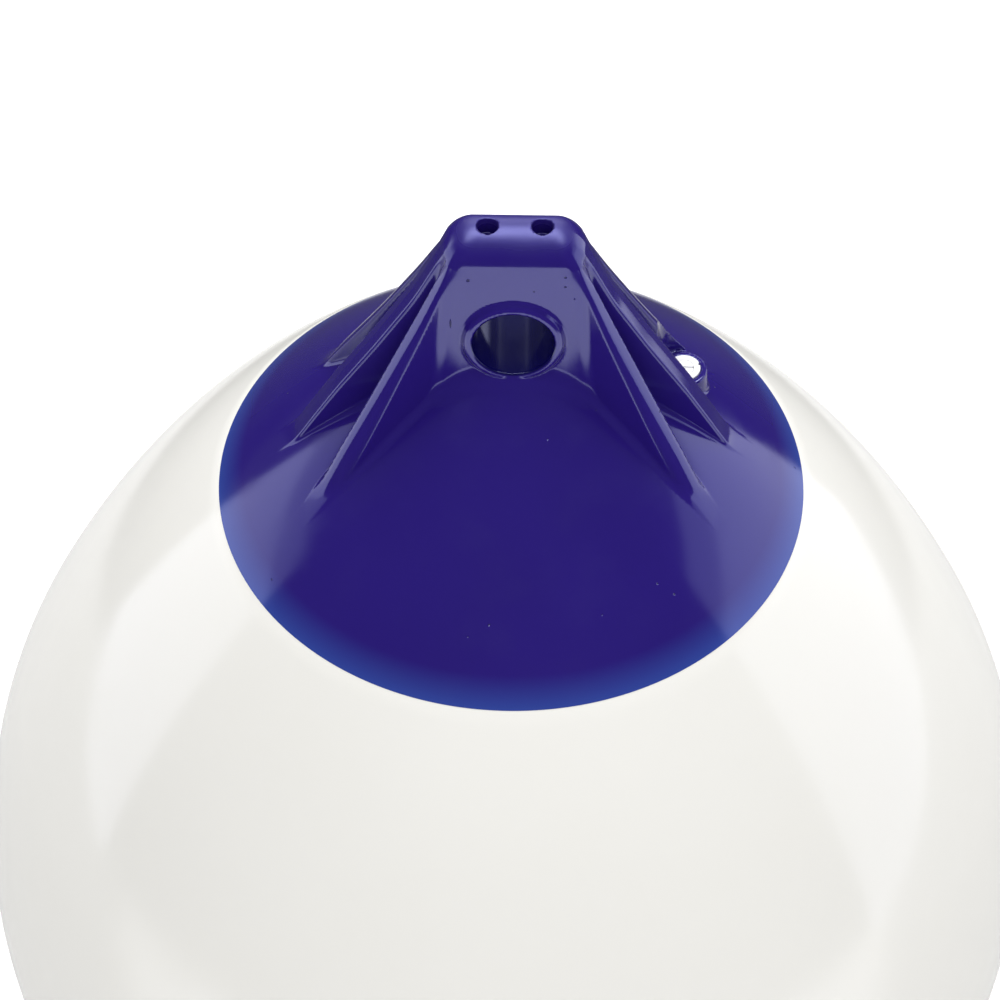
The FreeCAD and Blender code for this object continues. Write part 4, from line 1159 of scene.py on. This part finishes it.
def makeFloor():
    # white paper; in reflections its colour and glow are painted: the part called the table glows, brighter
    # towards the front, and the paper beyond it is dark
    mesh = bpy.data.meshes.new("floor")
    half = studio["floorHalf"]
    corners = [(-half, -half, 0), (half, -half, 0), (half, half, 0), (-half, half, 0)]
    mesh.from_pydata(corners, [], [(0, 1, 2, 3)])
    floor = newObject("floor", mesh)
    material, tree, shader = newMaterial("floorPaper")
    m = mathIn(tree)
    x, y, _ = axesOf(tree, objectPlace(tree))
    side, front, rear = studio["table"]
    fade = studio["tableFade"]
    inSides = remap(tree, m("ABSOLUTE", x), side, side + fade, 1.0, 0.0, True)
    pastFront = remap(tree, y, front - fade, front, 0.0, 1.0, True)
    beforeRear = remap(tree, y, rear, rear + studio["rearFade"], 1.0, 0.0, True)
    onTable = m("MULTIPLY", inSides, m("MULTIPLY", pastFront, beforeRear))
    path = tree.nodes.new("ShaderNodeLightPath").outputs
    # Painted reflection: for glossy rays the paper is grey on the table and nearly black beyond it
    paintedGlossColour = mixColour(tree, onTable, (studio["floorInGloss"],) * 3, (studio["paperInGloss"],) * 3)
    colour = mixColour(tree, path["Is Glossy Ray"], studio["paper"], paintedGlossColour)
    link(tree, colour, shader.inputs["Base Color"])
    shader.inputs["Roughness"].default_value = studio["floorRoughness"]
    shader.inputs["Emission Color"].default_value = (1.0, 1.0, 1.0, 1.0)
    seen = m("MAXIMUM", path["Is Camera Ray"], path["Is Transmission Ray"])
    # Painted glow, seen only in reflections, over the table and brighter towards its front; no lamp is
    # there
    nearer = remap(tree, y, studio["shineFrom"], studio["shineTo"],
                   studio["paintedShine"], studio["paintedFrontShine"], True)
    paintedShine = m("MULTIPLY", m("MULTIPLY", path["Is Glossy Ray"], onTable), nearer)
    glow = m("ADD", m("MULTIPLY", seen, studio["paperGlow"]), paintedShine)
    link(tree, glow, shader.inputs["Emission Strength"])
    mesh.materials.append(material)


def makeWorld():
    # a white surround for the camera, an even fill for the finishes and a dark studio in their gloss
    world = bpy.data.worlds.new("studio")
    scene.world = world
    world.use_nodes = True
    tree = world.node_tree
    tree.nodes.clear()
    m = mathIn(tree)
    out = tree.nodes.new("ShaderNodeOutputWorld")
    back = tree.nodes.new("ShaderNodeBackground")
    back.inputs["Color"].default_value = (1.0, 1.0, 1.0, 1.0)
    path = tree.nodes.new("ShaderNodeLightPath").outputs
    seen = m("MAXIMUM", path["Is Camera Ray"], path["Is Transmission Ray"])
    y = axesOf(tree, tree.nodes.new("ShaderNodeTexCoord").outputs["Generated"])[1]
    room = remap(tree, y, studio["rearFrom"], studio["rearTo"],
                 studio["dark"], studio["rearDark"], True)
    fill = m("ADD", m("MULTIPLY", path["Is Diffuse Ray"], studio["ambient"]),
             m("MULTIPLY", path["Is Glossy Ray"], room))
    link(tree, m("MAXIMUM", seen, fill), back.inputs["Strength"])
    link(tree, back.outputs[0], out.inputs[0])


def makeLamps():
    reach = studio["panelReach"]
    for name, sign, (front, rear), (low, high), glow in studio["panels"]:
        middle = (sign * reach, (front + rear) / 2, (low + high) / 2)
        wide, tall = rear - front, high - low
        power = glow * math.pi * wide * tall
        aim = (0.0, middle[1], middle[2])
        panelLamp(name, middle, aim, wide, tall, power, True, False, studio["panelColour"])
    for name, place, aimHeight, wide, tall, power, shiny, lighting in studio["lamps"]:
        panelLamp(name, place, (0.0, 0.0, aimHeight), wide, tall, power, shiny, lighting)


def makeCamera():
    data = bpy.data.cameras.new("camera")
    data.sensor_width = view["sensor"]
    data.lens = view["lens"]
    data.clip_start, data.clip_end = view["clip"]
    camera = newObject("camera", data)
    elevation = math.radians(view["elevation"])
    roll = math.radians(view["roll"])
    back = Vector((0.0, -math.cos(elevation), math.sin(elevation)))
    up = Vector((0.0, math.sin(elevation), math.cos(elevation)))
    right = Vector((1.0, 0.0, 0.0))
    across = right * math.cos(roll) + up * math.sin(roll)
    above = up * math.cos(roll) - right * math.sin(roll)
    turn = Matrix((across, above, back)).transposed().to_4x4()
    camera.matrix_world = Matrix.Translation(Vector(view["target"]) + back * view["distance"]) @ turn
    scene.camera = camera


makeFloor()
makeWorld()
makeLamps()
makeCamera()
scene.view_settings.view_transform = "Standard"
print("studio ready")
